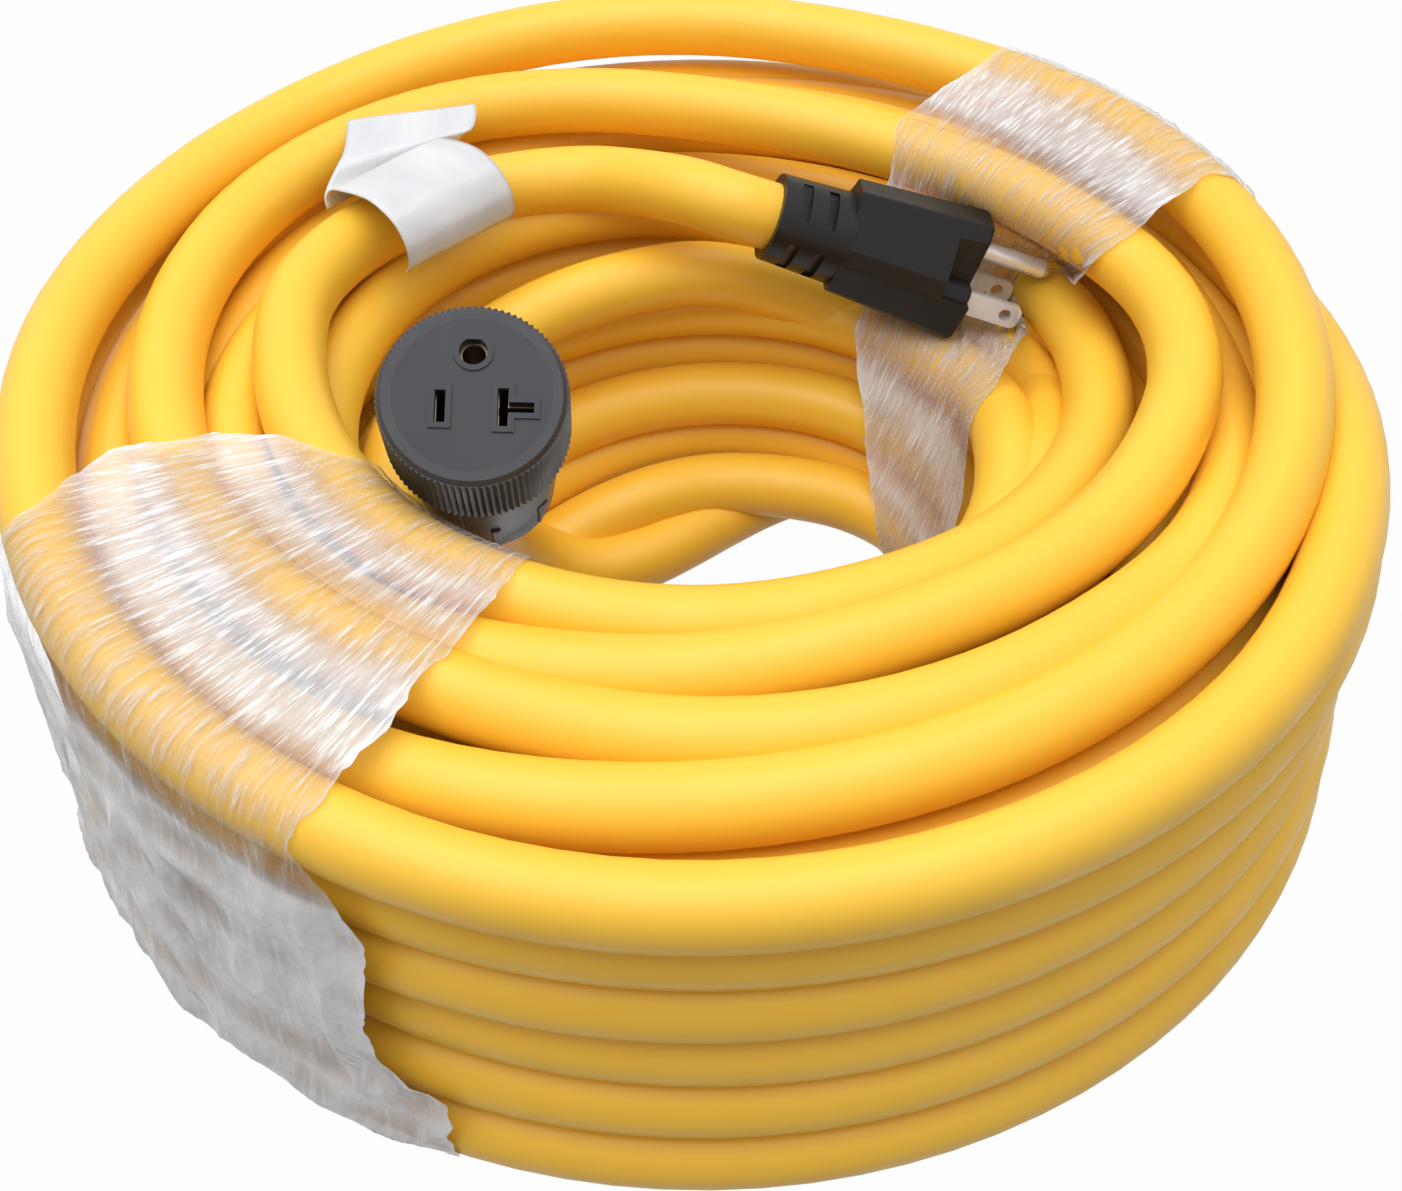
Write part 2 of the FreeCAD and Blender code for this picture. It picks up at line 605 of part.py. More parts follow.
carrier = carrier.fuse([
    raised_box(SLOT_WIDTH, HOT_SLOT_LENGTH, -blade_y),
    raised_box(SLOT_WIDTH, NEUTRAL_SLOT_LENGTH, blade_y),
    raised_box(T_REACH, SLOT_WIDTH, t_middle),
    flat_topped(GROUND_HOLE_RADIUS + LIP_WIDTH, GROUND_HOLE_FLAT + LIP_WIDTH, -1, LIP_HEIGHT),
])
mouth_low = -SOCKET_TOP
slot_sizes = (
    (SLOT_WIDTH, HOT_SLOT_LENGTH, mouth_low, LIP_HEIGHT, -blade_y),
    (SLOT_WIDTH, NEUTRAL_SLOT_LENGTH, mouth_low, LIP_HEIGHT, blade_y),
    (T_REACH, SLOT_WIDTH, mouth_low, LIP_HEIGHT, t_middle),
    (LEAF_ROOM, HOT_SLOT_LENGTH, contact_low, mouth_low, -blade_y),
    (LEAF_ROOM, NEUTRAL_SLOT_LENGTH, contact_low, mouth_low, blade_y),
    (T_REACH, LEAF_ROOM, contact_low, mouth_low, wing_middle),
)
for size in slot_sizes:
    carrier = carrier.cut(box(*size, FACE_BLADE_LINE))
carrier = carrier.cut(flat_topped(GROUND_HOLE_RADIUS, GROUND_HOLE_FLAT, mouth_low, LIP_HEIGHT))
carrier = carrier.cut(rod(
    SOCKET_RADIUS + SOCKET_WALL + WIRE_CLEARANCE, contact_low, mouth_low, 0, socket_y
))

socket = rod(SOCKET_RADIUS + SOCKET_WALL, contact_low, mouth_low, 0, socket_y)
socket = socket.cut(rod(SOCKET_RADIUS, mouth_low - SOCKET_LENGTH, 0, 0, socket_y))
split = box(SOCKET_SPLIT, 8, mouth_low - SOCKET_LENGTH, 0, 0, socket_y - 4)
socket = socket.cut(split).fuse(crimp(0, socket_y, crimp_low))

for name, shape in (
    ("connector_hot_contact", leaf_contact(-blade_y, HOT_SLOT_LENGTH, False)),
    ("connector_neutral_contact", leaf_contact(blade_y, NEUTRAL_SLOT_LENGTH, True)),
    ("connector_ground_contact", socket),
    ("connector_contact_carrier", carrier),
    ("connector_overmould", connector_overmould),
):
    export(name, place(shape, FACE_CENTRE, face_right, FACE_AXIS))

# Blank label: a band over the plug's lead with a flag lying outwards on the coil

band_path = plug_lead_path[1:4]
band_start = band_path[0].Vertexes[0].Point
band_way = band_path[0].tangentAt(band_path[0].FirstParameter)
outward = Vector(-band_way.y, band_way.x, 0).normalize()
upward = band_way.cross(outward)


def on_band(along_outward, along_upward):
    return band_start + outward * along_outward + upward * along_upward


def band_line(distance):
    return [
        Part.Arc(on_band(0, distance), on_band(-distance, 0), on_band(0, -distance)).toShape(),
        line(on_band(0, distance), on_band(TAG_FLAG, distance)),
    ]


band_in = CORD_RADIUS + SKIN_GAP
band_out = band_in + SKIN
band_section = band_line(band_in) + band_line(band_out)
band_section.append(line(on_band(0, -band_in), on_band(0, -band_out)))
band_section.append(line(on_band(TAG_FLAG, band_in), on_band(TAG_FLAG, band_out)))
band_outline = Part.Wire(Part.__sortEdges__(band_section))
export("cord_tag", Part.Wire(band_path).makePipeShell([band_outline], True, False))

# Stretch film: a skin over the top, down the outer wall and in underneath, in two sectors


def film_line(top_inner, foot_inner, grow):
    """The film's section at its inner face, or at its outer face with grow as its thickness."""
    outer = WALL_RADIUS + CORD_RADIUS + SKIN_GAP + grow
    top = TOP_Z + CORD_RADIUS + SKIN_GAP + grow
    foot = SKIN - grow
    upper = FILM_CORNER + grow
    lower = FILM_FOOT_CORNER + grow
    inset = 1 - math.sqrt(0.5)
    top_start = Vector(outer - upper, 0, top)
    top_middle = Vector(outer - upper * inset, 0, top - upper * inset)
    top_end = Vector(outer, 0, top - upper)
    foot_start = Vector(outer, 0, foot + lower)
    foot_middle = Vector(outer - lower * inset, 0, foot + lower * inset)
    foot_end = Vector(outer - lower, 0, foot)
    return [
        line(Vector(top_inner, 0, top), top_start),
        Part.Arc(top_start, top_middle, top_end).toShape(),
        line(top_end, foot_start),
        Part.Arc(foot_start, foot_middle, foot_end).toShape(),
        line(foot_end, Vector(foot_inner, 0, foot)),
    ]


for name, azimuths, (top_inner, foot_inner) in (
    ("stretch_film_front", FRONT_FILM, FRONT_FILM_EDGES),
    ("stretch_film_back", BACK_FILM, BACK_FILM_EDGES),
):
    inside = film_line(top_inner, foot_inner, 0)
    outside = film_line(top_inner, foot_inner, SKIN)
    rims = [
        line(inside[0].Vertexes[0].Point, outside[0].Vertexes[0].Point),
        line(inside[-1].Vertexes[-1].Point, outside[-1].Vertexes[-1].Point),
    ]
    section = Part.Wire(Part.__sortEdges__(inside + outside + rims))
    film = Part.Face(section).revolve(Vector(), Vector(0, 0, 1), azimuths[1] - azimuths[0])
    film.rotate(Vector(), Vector(0, 0, 1), azimuths[0])
    export(name, film)
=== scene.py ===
"""Shore power cord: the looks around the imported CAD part, seen from the photo's own camera.

Lengths are in metres in the part's frame: the coil stands on z = 0 with its axis at the origin.
"""
import math
from bisect import bisect

import bmesh
import bpy
from mathutils import Matrix, Vector, noise
from mathutils.geometry import intersect_point_line
from mathutils.kdtree import KDTree


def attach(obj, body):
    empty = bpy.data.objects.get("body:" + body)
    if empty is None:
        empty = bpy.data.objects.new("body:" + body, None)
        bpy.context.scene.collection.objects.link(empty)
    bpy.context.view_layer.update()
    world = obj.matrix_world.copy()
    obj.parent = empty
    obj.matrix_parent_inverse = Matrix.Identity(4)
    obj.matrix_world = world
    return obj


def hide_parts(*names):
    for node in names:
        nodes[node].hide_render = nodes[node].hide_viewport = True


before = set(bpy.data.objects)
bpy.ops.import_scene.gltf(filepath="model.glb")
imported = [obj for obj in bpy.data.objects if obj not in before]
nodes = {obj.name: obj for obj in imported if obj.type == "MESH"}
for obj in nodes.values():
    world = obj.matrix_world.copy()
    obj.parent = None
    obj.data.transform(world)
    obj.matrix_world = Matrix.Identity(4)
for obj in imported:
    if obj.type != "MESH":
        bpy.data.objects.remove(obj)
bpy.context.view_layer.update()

# Camera: it looks down into the coil from in front, as the photo does. Its place and lens were
# fitted from the sizes that the plug's blades and the connector's slots have on the real cord.
camera_data = bpy.data.cameras.new("camera")
camera_data.sensor_width = 36.0
camera_data.lens = 51.36
camera = bpy.data.objects.new("camera", camera_data)
camera.location = (0.0, -0.356, 0.378)
camera.rotation_euler = (math.radians(44.8), 0.0, 0.0)
bpy.context.scene.collection.objects.link(camera)
bpy.context.scene.camera = camera

# Cord: one length of heavy outdoor cable, three stranded wires in a smooth yellow vinyl jacket.
# It leaves the plug, winds through the top turns and the layers of the wall down to the floor,
# crosses the coil's hole and rises into the connector's neck.
CORD_RADIUS = 0.0084
TURN_STEP = 15  # degrees between the route's points in the coil
CORNER_ALLOWANCE = 1.0086  # the spline passes inside its points, so the turns' points lie outside them
# each lead is x, y, z and each turn is azimuth in degrees, radius and height, in mm
PLUG_LEAD = (
    (24.0, 60.0, 90.0),
    (17.3, 60.0, 92.5),
    (8.0, 58.8, 96.4),
    (-3.0, 64.5, 97.0),
    (-15.0, 75.5, 92.0),
    (-30.0, 85.5, 87.0),
    (-51.0, 80.0, 88.0),
    (-69.0, 69.0, 89.5),
)
TURNS = (
    # the top layer's inner turn, which sinks under the plug at the right
    (149, 99.5, 91.0), (158, 101.0, 92.4), (168, 97.3, 92.4), (180, 93.0, 92.4), (201, 87.8, 92.4),
    (214, 85.7, 92.4), (232, 83.3, 92.0), (250, 80.5, 91.0), (270, 78.8, 90.0), (286, 78.6, 90.0),
    (304, 79.5, 89.0), (319, 81.5, 86.5), (333, 83.5, 83.0), (350, 87.5, 77.5), (366, 95.4, 73.2),
    (379, 100.8, 69.6), (398, 113.5, 62.8), (420, 118.5, 61.5), (450, 110.5, 68.5), (480, 104.5, 75.0),
    (510, 105.0, 79.0), (540, 106.5, 82.0), (575, 103.5, 86.0),
    # second turn
    (603, 98.9, 90.5), (614, 96.7, 92.0), (630, 94.0, 92.4), (650, 91.0, 92.4), (666, 92.5, 92.4),
    (684, 97.3, 92.4), (696, 101.0, 92.4), (710, 105.6, 92.4), (722, 111.3, 92.4), (731, 113.0, 92.4),
    (742, 110.7, 92.4), (762, 105.5, 92.4), (783, 103.7, 92.4), (795, 105.0, 92.4), (810, 109.4, 92.4),
    # third turn
    (824, 117.5, 92.4), (832, 122.0, 92.4), (841, 126.0, 92.4), (850, 128.6, 92.4), (863, 129.0, 92.4),
    (878, 126.8, 92.4), (892, 123.0, 92.4), (916, 117.6, 92.4), (940, 112.8, 92.4), (963, 109.4, 92.4),
    (990, 110.9, 92.4), (1006, 111.5, 92.4), (1030, 113.5, 92.4), (1043, 115.8, 91.0),
    (1054, 118.6, 88.0), (1080, 121.0, 78.5), (1110, 126.0, 78.0), (1170, 129.0, 79.5),
    (1220, 131.5, 80.0), (1260, 132.7, 81.0), (1300, 131.5, 84.5),
    # fourth turn
    (1330, 129.0, 90.0), (1338, 127.7, 91.5), (1350, 126.3, 92.4), (1366, 124.4, 92.4),
    (1386, 124.1, 92.4), (1405, 126.5, 93.5), (1415, 128.6, 95.0), (1435, 131.5, 99.0),
    (1454, 133.3, 101.0), (1475, 136.5, 99.5), (1499, 140.6, 97.0), (1508, 141.4, 96.5),
    (1522, 146.0, 96.0), (1533, 150.0, 95.0), (1543, 151.5, 94.5), (1568, 149.0, 93.5),
    # fifth turn and the way down to the wall
    (1580, 147.0, 94.0), (1606, 145.0, 96.5), (1620, 145.5, 98.0), (1650, 147.0, 95.0),
    (1682, 148.0, 92.4), (1710, 149.4, 92.4), (1732, 148.0, 92.4), (1750, 147.0, 92.4),
    (1765, 145.5, 92.0), (1790, 143.5, 90.0), (1815, 143.5, 84.0), (1845, 147.0, 76.5),
    # second layer, inwards
    (1890, 147.0, 75.6), (1980, 146.0, 75.6), (2070, 145.0, 75.6), (2160, 146.0, 75.6),
    (2205, 144.0, 75.6), (2300, 131.0, 75.6), (2430, 130.0, 75.6), (2610, 127.0, 75.6),
    (2700, 115.0, 75.6), (2750, 104.0, 75.6), (2790, 96.0, 75.6), (2850, 84.0, 73.0),
    (2876, 78.0, 69.0), (2893, 88.0, 58.0), (2912, 98.0, 49.0), (2932, 99.0, 48.0), (2947, 95.0, 54.0),
    (2965, 90.0, 73.0), (2990, 92.0, 76.0), (3011, 93.0, 76.0),
    (3060, 88.0, 76.0), (3150, 80.0, 74.0), (3240, 72.0, 69.0), (3262, 77.0, 58.0),
    (3285, 83.0, 52.0), (3305, 79.0, 56.0), (3325, 71.0, 67.5), (3350, 67.0, 68.5), (3385, 68.5, 66.0),
    (3420, 73.0, 63.0), (3510, 76.0, 60.0), (3600, 78.0, 56.0),
    # third layer, outwards
    (3645, 79.0, 54.0), (3685, 76.0, 54.0), (3720, 74.5, 54.0), (3780, 78.0, 55.0), (3870, 84.0, 57.0),
    (3960, 91.0, 55.5), (4005, 97.0, 52.5), (4045, 94.0, 58.8), (4340, 109.0, 57.0),
    (4380, 112.0, 55.0), (4415, 112.0, 57.5), (4765, 128.0, 58.8), (4860, 144.0, 58.8),
    (4950, 145.5, 58.8), (5040, 144.0, 58.8), (5130, 146.0, 58.8), (5200, 145.0, 57.8),
    # fourth layer, inwards
    (5280, 144.0, 43.0), (5370, 145.0, 42.0), (5460, 146.0, 42.0), (5550, 145.0, 42.0),
    (5640, 144.0, 42.0), (5740, 128.0, 42.0), (6100, 111.0, 42.0), (6460, 94.0, 41.0),
    (6746, 81.5, 39.5), (6885, 83.0, 38.5), (6925, 79.0, 38.5), (6960, 76.0, 38.5), (7020, 76.0, 37.0),
    (7110, 76.0, 35.0), (7200, 72.0, 34.0), (7245, 68.5, 34.0), (7285, 62.5, 34.0), (7325, 61.0, 33.0),
    (7380, 68.0, 29.0), (7470, 74.0, 25.0), (7560, 73.0, 21.0), (7605, 69.0, 19.5),
    (7645, 64.0, 19.5), (7690, 59.0, 20.0),
    # fifth layer, outwards
    (7740, 68.0, 23.5), (7830, 79.0, 25.2), (7920, 82.0, 25.2), (8280, 99.0, 25.2), (8640, 116.0, 25.2),
    (8894, 128.0, 25.2), (8990, 145.0, 25.2), (9080, 147.0, 25.2), (9180, 146.0, 25.2),
    (9280, 146.0, 25.2), (9340, 147.0, 24.4),
    # bottom layer, inwards
    (9410, 147.0, 9.4), (9500, 148.0, 8.4), (9600, 148.0, 8.4), (9690, 148.0, 8.4), (9770, 146.0, 8.4),
    (9860, 130.0, 8.4), (10220, 113.0, 8.4), (10580, 96.0, 8.4), (10919, 80.0, 8.4), (11100, 74.0, 8.4),
    (11160, 69.0, 12.0), (11194, 59.1, 16.5), (11224, 48.1, 17.4), (11250, 43.6, 17.4),
    (11274, 40.5, 17.4), (11304, 45.5, 13.0), (11340, 56.0, 9.0), (11430, 66.0, 8.4),
    (11490, 67.0, 8.4), (11520, 66.0, 8.4), (11550, 65.0, 8.4),
)
CONNECTOR_LEAD = (
    (45.0, 50.0, 8.4),
    (31.0, 56.5, 8.4),
    (17.5, 50.0, 8.4),
    (5.0, 40.6, 8.4),
    (-5.6, 32.0, 8.4),
    (-16.2, 24.3, 8.4),
    (-28.0, 19.5, 9.0),
    (-39.0, 17.5, 14.0),
    (-47.0, 13.5, 24.0),
    (-50.4, 4.0, 39.0),
    (-49.6, -6.0, 56.0),
    (-49.3, -11.2, 65.0),
)


def lay_of_turn(column, at):
    """Radius (column 1) or height (column 2) of the wound cord at an azimuth, on a smooth line."""
    index = max(i for i, row in enumerate(TURNS[:-1]) if row[0] <= at)
    low, high = TURNS[index], TURNS[index + 1]
    before = TURNS[max(index - 1, 0)]
    after = TURNS[min(index + 2, len(TURNS) - 1)]
    span = high[0] - low[0]
    share = (at - low[0]) / span
    low_slope = (high[column] - before[column]) / (high[0] - before[0]) * span
    high_slope = (after[column] - low[column]) / (after[0] - low[0]) * span
    rise = high[column] - low[column]
    return (low[column] + share * low_slope
            + share ** 2 * (3 * rise - 2 * low_slope - high_slope)
            + share ** 3 * (low_slope + high_slope - 2 * rise))


cord_points = [Vector(point) / 1000 for point in PLUG_LEAD]
azimuth = TURNS[0][0]
while azimuth <= TURNS[-1][0]:
    radius = CORNER_ALLOWANCE * lay_of_turn(1, azimuth) / 1000
    height = max(CORD_RADIUS, lay_of_turn(2, azimuth) / 1000)
    turn = math.radians(azimuth)
    cord_points.append(Vector((radius * math.cos(turn), radius * math.sin(turn), height)))
    azimuth += TURN_STEP
cord_points += [Vector(point) / 1000 for point in CONNECTOR_LEAD]

cord_curve = bpy.data.curves.new("cord", "CURVE")
cord_curve.dimensions = "3D"
cord_curve.bevel_depth = 1.0
cord_curve.bevel_resolution = 8
cord_curve.use_fill_caps = True
cord_route = cord_curve.splines.new("NURBS")
cord_route.points.add(len(cord_points) - 1)
for control, point in zip(cord_route.points, cord_points):
    control.co = (*point, 1.0)
    control.radius = CORD_RADIUS
cord_route.order_u = 3
cord_route.use_endpoint_u = True
cord_route.resolution_u = 4
cord = bpy.data.objects.new("cord", cord_curve)
bpy.context.scene.collection.objects.link(cord)
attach(cord, "root")
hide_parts("coil_turns", "coil_core", "plug_lead", "connector_lead")


def surface_finish(name, colour, roughness, metallic=0.0):
    """A piece's finish with one Principled shader; returns the material and that shader."""
    material = bpy.data.materials.new(name)
    material.use_nodes = True
    shader = material.node_tree.nodes["Principled BSDF"]
    shader.inputs["Base Color"].default_value = (*colour, 1.0)
    shader.inputs["Roughness"].default_value = roughness
    shader.inputs["Metallic"].default_value = metallic
    return material, shader


def grain(material, coordinates, scale, detail, stretch=(1.0, 1.0, 1.0)):
    """An uneven grain on the piece's Object coordinates or UV map; returns its value."""
    tree = material.node_tree
    place = tree.nodes.new("ShaderNodeTexCoord")
    mapping = tree.nodes.new("ShaderNodeMapping")
    mapping.inputs["Scale"].default_value = stretch
    pattern = tree.nodes.new("ShaderNodeTexNoise")
    pattern.inputs["Scale"].default_value = scale
    pattern.inputs["Detail"].default_value = detail
    tree.links.new(place.outputs[coordinates], mapping.inputs["Vector"])
    tree.links.new(mapping.outputs["Vector"], pattern.inputs["Vector"])
    return pattern.outputs["Fac"]


def shade_by(material, value, low_stop, high_stop):
    """Goes from one tone to another over a value; each stop is a place and a grey or a colour."""
    node = material.node_tree.nodes.new("ShaderNodeValToRGB")
    for stop, (at, tone) in zip(node.color_ramp.elements, (low_stop, high_stop)):
        stop.position = at
        stop.color = (tone, tone, tone, 1.0) if isinstance(tone, float) else (*tone, 1.0)
    material.node_tree.links.new(value, node.inputs["Fac"])
    return node.outputs["Color"]


def press_grain(material, shader, value, strength, depth):
    """Presses a value into the surface as relief."""
    node = material.node_tree.nodes.new("ShaderNodeBump")
    node.inputs["Strength"].default_value = strength
    node.inputs["Distance"].default_value = depth
    material.node_tree.links.new(value, node.inputs["Height"])
    material.node_tree.links.new(node.outputs["Normal"], shader.inputs["Normal"])


yellow_jacket, jacket_shader = surface_finish("yellow_jacket", (0.92, 0.535, 0.045), 0.42)
jacket_tone = shade_by(yellow_jacket, grain(yellow_jacket, "Object", 9.0, 3.0),
                       (0.3, (0.90, 0.515, 0.038)), (0.7, (0.94, 0.555, 0.05)))
yellow_jacket.node_tree.links.new(jacket_tone, jacket_shader.inputs["Base Color"])
jacket_sheen = shade_by(yellow_jacket, grain(yellow_jacket, "Object", 60.0, 4.0), (0.3, 0.36), (0.7, 0.5))
yellow_jacket.node_tree.links.new(jacket_sheen, jacket_shader.inputs["Roughness"])
press_grain(yellow_jacket, jacket_shader, grain(yellow_jacket, "Object", 420.0, 3.0), 0.12, 0.0002)
cord_curve.materials.append(yellow_jacket)

# Plug's moulding: black vinyl, moulded in one shot over the blade holder and the cord's end, with
# a slotted sleeve that keeps the cord from bending sharply where it goes in.
black_moulding, black_shader = surface_finish("black_moulding", (0.010, 0.010, 0.011), 0.30)
black_shader.inputs["Specular IOR Level"].default_value = 0.28
black_sheen = shade_by(black_moulding, grain(black_moulding, "Object", 70.0, 5.0), (0.35, 0.3), (0.7, 0.46))
black_moulding.node_tree.links.new(black_sheen, black_shader.inputs["Roughness"])
press_grain(black_moulding, black_shader, grain(black_moulding, "Object", 1500.0, 2.0), 0.12, 0.0001)


def coat_node(node_name, material):
    """Gives a CAD node its finish."""
    mesh = nodes[node_name].data
    mesh.materials.clear()
    mesh.materials.append(material)


for node_name in ("plug_overmould", "plug_blade_holder"):
    coat_node(node_name, black_moulding)

# Blades and ground pin: brass strip and tube, stamped, drilled and bright nickel plated, pressed
# into the blade holder before the plug is moulded round it.
bright_plating, plating_shader = surface_finish("bright_plating", (0.80, 0.84, 0.90), 0.38, 0.6)
plating_sheen = shade_by(bright_plating, grain(bright_plating, "Object", 400.0, 4.0),
                         (0.3, 0.26), (0.7, 0.42))
bright_plating.node_tree.links.new(plating_sheen, plating_shader.inputs["Roughness"])
press_grain(bright_plating, plating_shader, grain(bright_plating, "Object", 900.0, 3.0), 0.08, 0.0001)
for node_name in ("plug_hot_blade", "plug_neutral_blade", "plug_ground_pin"):
    coat_node(node_name, bright_plating)

# Connector: a dark grey vinyl moulding with a knurled rim to grip, over a contact carrier of a
# harder, smoother plastic whose flat face shows the straight slot, the T slot and the ground hole.
# The moulding's grey is partly the vinyl's own dark grey and partly painted highlight: a touch lighter than
# the face, standing in for the glints on the knurl's crests.
slate_moulding_with_painted_highlight, slate_shader = surface_finish("slate_moulding_with_painted_highlight", (0.034, 0.035, 0.042), 0.42)
slate_shader.inputs["Specular IOR Level"].default_value = 0.35
slate_sheen = shade_by(slate_moulding_with_painted_highlight, grain(slate_moulding_with_painted_highlight, "Object", 80.0, 5.0), (0.35, 0.36), (0.7, 0.52))
slate_moulding_with_painted_highlight.node_tree.links.new(slate_sheen, slate_shader.inputs["Roughness"])
press_grain(slate_moulding_with_painted_highlight, slate_shader, grain(slate_moulding_with_painted_highlight, "Object", 1400.0, 2.0), 0.12, 0.0001)
coat_node("connector_overmould", slate_moulding_with_painted_highlight)
slate_face, face_shader = surface_finish("slate_face", (0.022, 0.023, 0.030), 0.45)
face_shader.inputs["Specular IOR Level"].default_value = 0.35
face_tone = shade_by(slate_face, grain(slate_face, "Object", 60.0, 5.0),
                     (0.3, (0.019, 0.020, 0.026)), (0.7, (0.026, 0.027, 0.034)))
slate_face.node_tree.links.new(face_tone, face_shader.inputs["Base Color"])
press_grain(slate_face, face_shader, grain(slate_face, "Object", 1600.0, 3.0), 0.15, 0.0001)
coat_node("connector_contact_carrier", slate_face)

# Marks on the connector's neck: a raised bar, an arrow and the thin seam of the mould, all of the
# same vinyl and moulded with the neck, which widens towards the rim.
FACE_CENTRE = Vector((-0.0462, -0.0431, 0.1205))
FACE_AXIS = Vector((0.0457, -0.4984, 0.8657)).normalized()
FACE_RIGHT = Vector((0.0072, 0.8668, 0.4987)).cross(FACE_AXIS).normalized()
FACE_UP = FACE_AXIS.cross(FACE_RIGHT)
CONNECTOR_PLACE = Matrix((
    (FACE_RIGHT.x, FACE_UP.x, FACE_AXIS.x, FACE_CENTRE.x),
    (FACE_RIGHT.y, FACE_UP.y, FACE_AXIS.y, FACE_CENTRE.y),
    (FACE_RIGHT.z, FACE_UP.z, FACE_AXIS.z, FACE_CENTRE.z),
    (0, 0, 0, 1),
))
NECK_FOOT = -0.057
NECK_LENGTH = 0.0366
NECK_FOOT_RADIUS = 0.0152
NECK_WIDENING = 0.0027
ARROW_AZIMUTH = -38
ARROW_HEAD_AT = -0.0430


def fit_piece(name, mesh_in_making, material):
    """Turns a finished bmesh into a piece that rides on the cord's body."""
    mesh = bpy.data.meshes.new(name)
    mesh_in_making.to_mesh(mesh)
    mesh_in_making.free()
    mesh.materials.append(material)
    piece = bpy.data.objects.new(name, mesh)
    bpy.context.scene.collection.objects.link(piece)
    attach(piece, "root")
    return piece


# name, azimuth, lower and upper end along the connector's axis, width, height and edge rounding
for name, azimuth, low, high, width, proud, edge in (
    ("connector_bar", -79, -0.055, -0.041, 0.0022, 0.0012, 0.0004),
    ("connector_arrow_shaft", ARROW_AZIMUTH, -0.055, -0.045, 0.0012, 0.0012, 0.0004),
    ("connector_seam", -103, -0.0568, -0.0206, 0.0003, 0.0003, 0.00012),
):
    mark = bmesh.new()
    bmesh.ops.create_cube(mark, size=1.0)
    length = high - low
    middle = (high + low) / 2
    radius = NECK_FOOT_RADIUS + NECK_WIDENING * (middle - NECK_FOOT) / NECK_LENGTH
    bmesh.ops.scale(mark, vec=(proud, width, length), verts=mark.verts)
    bmesh.ops.bevel(mark, geom=mark.edges, offset=edge, segments=2, profile=0.5, affect="EDGES", material=-1)
    lean = Matrix.Rotation(math.atan2(NECK_WIDENING, NECK_LENGTH), 4, "Y")
    shift = Matrix.Translation((radius, 0, middle))
    around = Matrix.Rotation(math.radians(azimuth), 4, "Z")
    bmesh.ops.transform(mark, matrix=CONNECTOR_PLACE @ around @ shift @ lean, verts=mark.verts)
    fit_piece(name, mark, slate_moulding_with_painted_highlight)
arrow_head = bmesh.new()
bmesh.ops.create_cone(arrow_head, cap_ends=True, segments=3, radius1=0.0024, radius2=0.0021, depth=0.001)
bmesh.ops.bevel(arrow_head, geom=arrow_head.edges, offset=0.0002, segments=2, profile=0.5, affect="EDGES",
                material=-1)
radius = NECK_FOOT_RADIUS + NECK_WIDENING * (ARROW_HEAD_AT - NECK_FOOT) / NECK_LENGTH
turned = Matrix.Rotation(math.radians(90), 4, "Y")
shift = Matrix.Translation((radius, 0, ARROW_HEAD_AT))
around = Matrix.Rotation(math.radians(ARROW_AZIMUTH), 4, "Z")
bmesh.ops.transform(arrow_head, matrix=CONNECTOR_PLACE @ around @ shift @ turned, verts=arrow_head.verts)
fit_piece("connector_arrow_head", arrow_head, slate_moulding_with_painted_highlight)

# Wires inside both mouldings: stranded bare copper in black, white and green vinyl insulation,
# stripped at the end and crimped into the blades of the plug and the contacts of the connector.
bare_copper, copper_shader = surface_finish("bare_copper", (0.90, 0.45, 0.28), 0.3, 1.0)
strands = grain(bare_copper, "Object", 2000.0, 2.0, (1.0, 1.0, 0.1))
press_grain(bare_copper, copper_shader, strands, 0.4, 0.0001)
for colour, tint in (
    ("black", (0.02, 0.02, 0.02)),
    ("white", (0.85, 0.84, 0.8)),
    ("green", (0.02, 0.3, 0.08)),
):
    insulation, insulation_shader = surface_finish(f"{colour}_insulation", tint, 0.45)
    press_grain(insulation, insulation_shader, grain(insulation, "Object", 900.0, 2.0), 0.1, 0.0001)
    for end in ("plug", "connector"):
        coat_node(f"{end}_{colour}_insulation", insulation)
        coat_node(f"{end}_{colour}_copper", bare_copper)

# Contacts: folded strips of spring brass, dull rather than polished, that stand in the contact carrier
# behind the slots and grip the blades of the plug that is pushed in. Their brass colour is darkened
# as painted shade, for the shade that falls deep in the slots.
contact_brass, brass_shader = surface_finish("contact_brass", (0.26, 0.20, 0.12), 0.42, 1.0)
press_grain(contact_brass, brass_shader, grain(contact_brass, "Object", 800.0, 3.0), 0.1, 0.0001)
for node_name in ("connector_hot_contact", "connector_neutral_contact", "connector_ground_contact"):
    coat_node(node_name, contact_brass)

# Label: one strip of plain white laminated film, stuck back to back with its own end. One
# half lies flat on the coil as a flag and the other bends down over the plug's lead.
LABEL_WIDTH = 0.0339
LABEL_THICKNESS = 0.0003
LABEL_CLEARANCE = 0.0006
LABEL_WAVE = 0.0004
LABEL_COLUMNS = 24
LABEL_ROWS = 90
LABEL_AXIS = Vector((0.690, 0.723, -0.032))
LABEL_SIDE = Vector((-0.724, 0.690, 0.0))
LABEL_UP = Vector((0.022, 0.023, 0.9995))
LABEL_ORIGIN = Vector((-0.0851, 0.0508, 0.0910))
